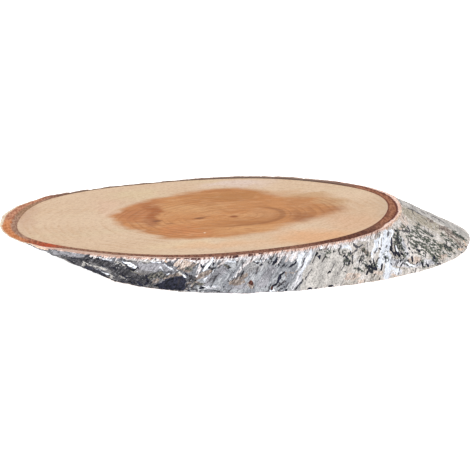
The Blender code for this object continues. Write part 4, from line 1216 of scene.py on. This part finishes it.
def make_paper_shreds():
    draw = random.Random(5)
    mesh = bmesh.new()
    angles = []
    places = []
    lifts = []
    for number in range(SHREDS):
        side = 1 if number % 4 == 0 else -1
        start = side * draw.uniform(0.40, 2.20)
        rim = along_at(start, LOG_RADIUS + lobes_at(LOG_LOBES, start), SLICE_THICKNESS)
        length = 0.0014 + 0.0040 * draw.random() ** 2
        half_width = draw.uniform(0.0003, 0.0008)
        lift = draw.uniform(0.00012, 0.0004)
        slant = draw.uniform(-0.3, 0.1)
        for vert in bmesh.ops.create_grid(mesh, x_segments=6, y_segments=2, size=0.5)["verts"]:
            out = vert.co.x + 0.5
            taper = 1.0 - 0.85 * out**1.4
            angles.append(start + side * (out * length - 0.0003) / LOG_RADIUS)
            places.append(rim + 2 * half_width * vert.co.y * taper + slant * length * out - 0.5 * half_width)
            lifts.append(0.0003 + lift * out - 0.00015 * (2 * vert.co.y) ** 2)
    angle = np.array(angles)
    along = np.array(places)
    relief, masks = bark_layers(angle, along)
    radius = smooth_log_radius(angle, along) + relief + np.array(lifts)
    layers = {name: mesh.verts.layers.float.new(name) for name in (*masks, "fringe", "below", "lip")}
    for number, vert in enumerate(mesh.verts):
        vert.co = place_on_log(angle[number], radius[number], along[number])
        vert.co.z = min(vert.co.z, SLICE_THICKNESS - 0.00003)
        for layer in layers.values():
            vert[layer] = -STROKE_REACH
        vert[layers["fissure"]] = 0.0
        vert[layers["fringe"]] = 1.0
        vert[layers["below"]] = min((SLICE_THICKNESS - vert.co.z) / MM, BELOW_MOST)
    mesh.normal_update()
    bmesh.ops.solidify(mesh, geom=mesh.faces[:], thickness=SHRED_THICKNESS)
    for vert in mesh.verts:
        vert.co.z = min(vert.co.z, SLICE_THICKNESS - 0.00001)
    return finish_mesh(mesh, "torn_paper", [bark.data.materials[0]])


torn_paper = make_paper_shreds()
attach(torn_paper, "root")
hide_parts("birch_slice")

# The studio
# A plain white table and background, lit softly from all sides and a little more from above,
# with the camera at the photo's angle. None of it is part of the slice.

CAMERA_AZIMUTH = math.radians(-7.49)
CAMERA_ELEVATION = math.radians(24.55)
CAMERA_DISTANCE = 1.0156
CAMERA_TARGET = LOG_CENTRE + Vector((-0.00073, 0.0235, 0.0))
CAMERA_LENS = 119.3

bpy.ops.mesh.primitive_plane_add(size=6.0, location=(0.0, 0.0, -0.0002))
floor = bpy.context.object
floor.name = "floor"
floor_material, _, floor_shader = new_material("white table", 0.9)
floor_shader.inputs["Base Color"].default_value = (0.95, 0.95, 0.95, 1.0)
floor_shader.inputs["Emission Color"].default_value = (1.0, 1.0, 1.0, 1.0)
floor_shader.inputs["Emission Strength"].default_value = 0.8
floor.data.materials.append(floor_material)

world = bpy.data.worlds.new("studio")
bpy.context.scene.world = world
world.use_nodes = True
world.node_tree.nodes["Background"].inputs["Color"].default_value = (1.0, 1.0, 1.0, 1.0)
world.node_tree.nodes["Background"].inputs["Strength"].default_value = 1.0


def add_soft_light(name, place, size, power):
    light = bpy.data.lights.new(name, "AREA")
    light.shape = "DISK"
    light.size = size
    light.energy = power
    lamp = bpy.data.objects.new(name, light)
    lamp.location = place
    lamp.rotation_euler = (Vector((0.0, 0.0, 0.0)) - Vector(place)).to_track_quat("-Z", "Y").to_euler()
    bpy.context.scene.collection.objects.link(lamp)


add_soft_light("top light", (-0.4, -0.6, 1.6), 1.2, 3.0)

toward_camera = Vector(
    (
        math.sin(CAMERA_AZIMUTH) * math.cos(CAMERA_ELEVATION),
        -math.cos(CAMERA_AZIMUTH) * math.cos(CAMERA_ELEVATION),
        math.sin(CAMERA_ELEVATION),
    )
)
camera = bpy.data.objects.new("camera", bpy.data.cameras.new("camera"))
camera.data.lens = CAMERA_LENS
camera.location = CAMERA_TARGET + toward_camera * CAMERA_DISTANCE
camera.rotation_euler = toward_camera.to_track_quat("Z", "Y").to_euler()
bpy.context.scene.collection.objects.link(camera)
bpy.context.scene.camera = camera
bpy.context.scene.view_settings.view_transform = "Standard"
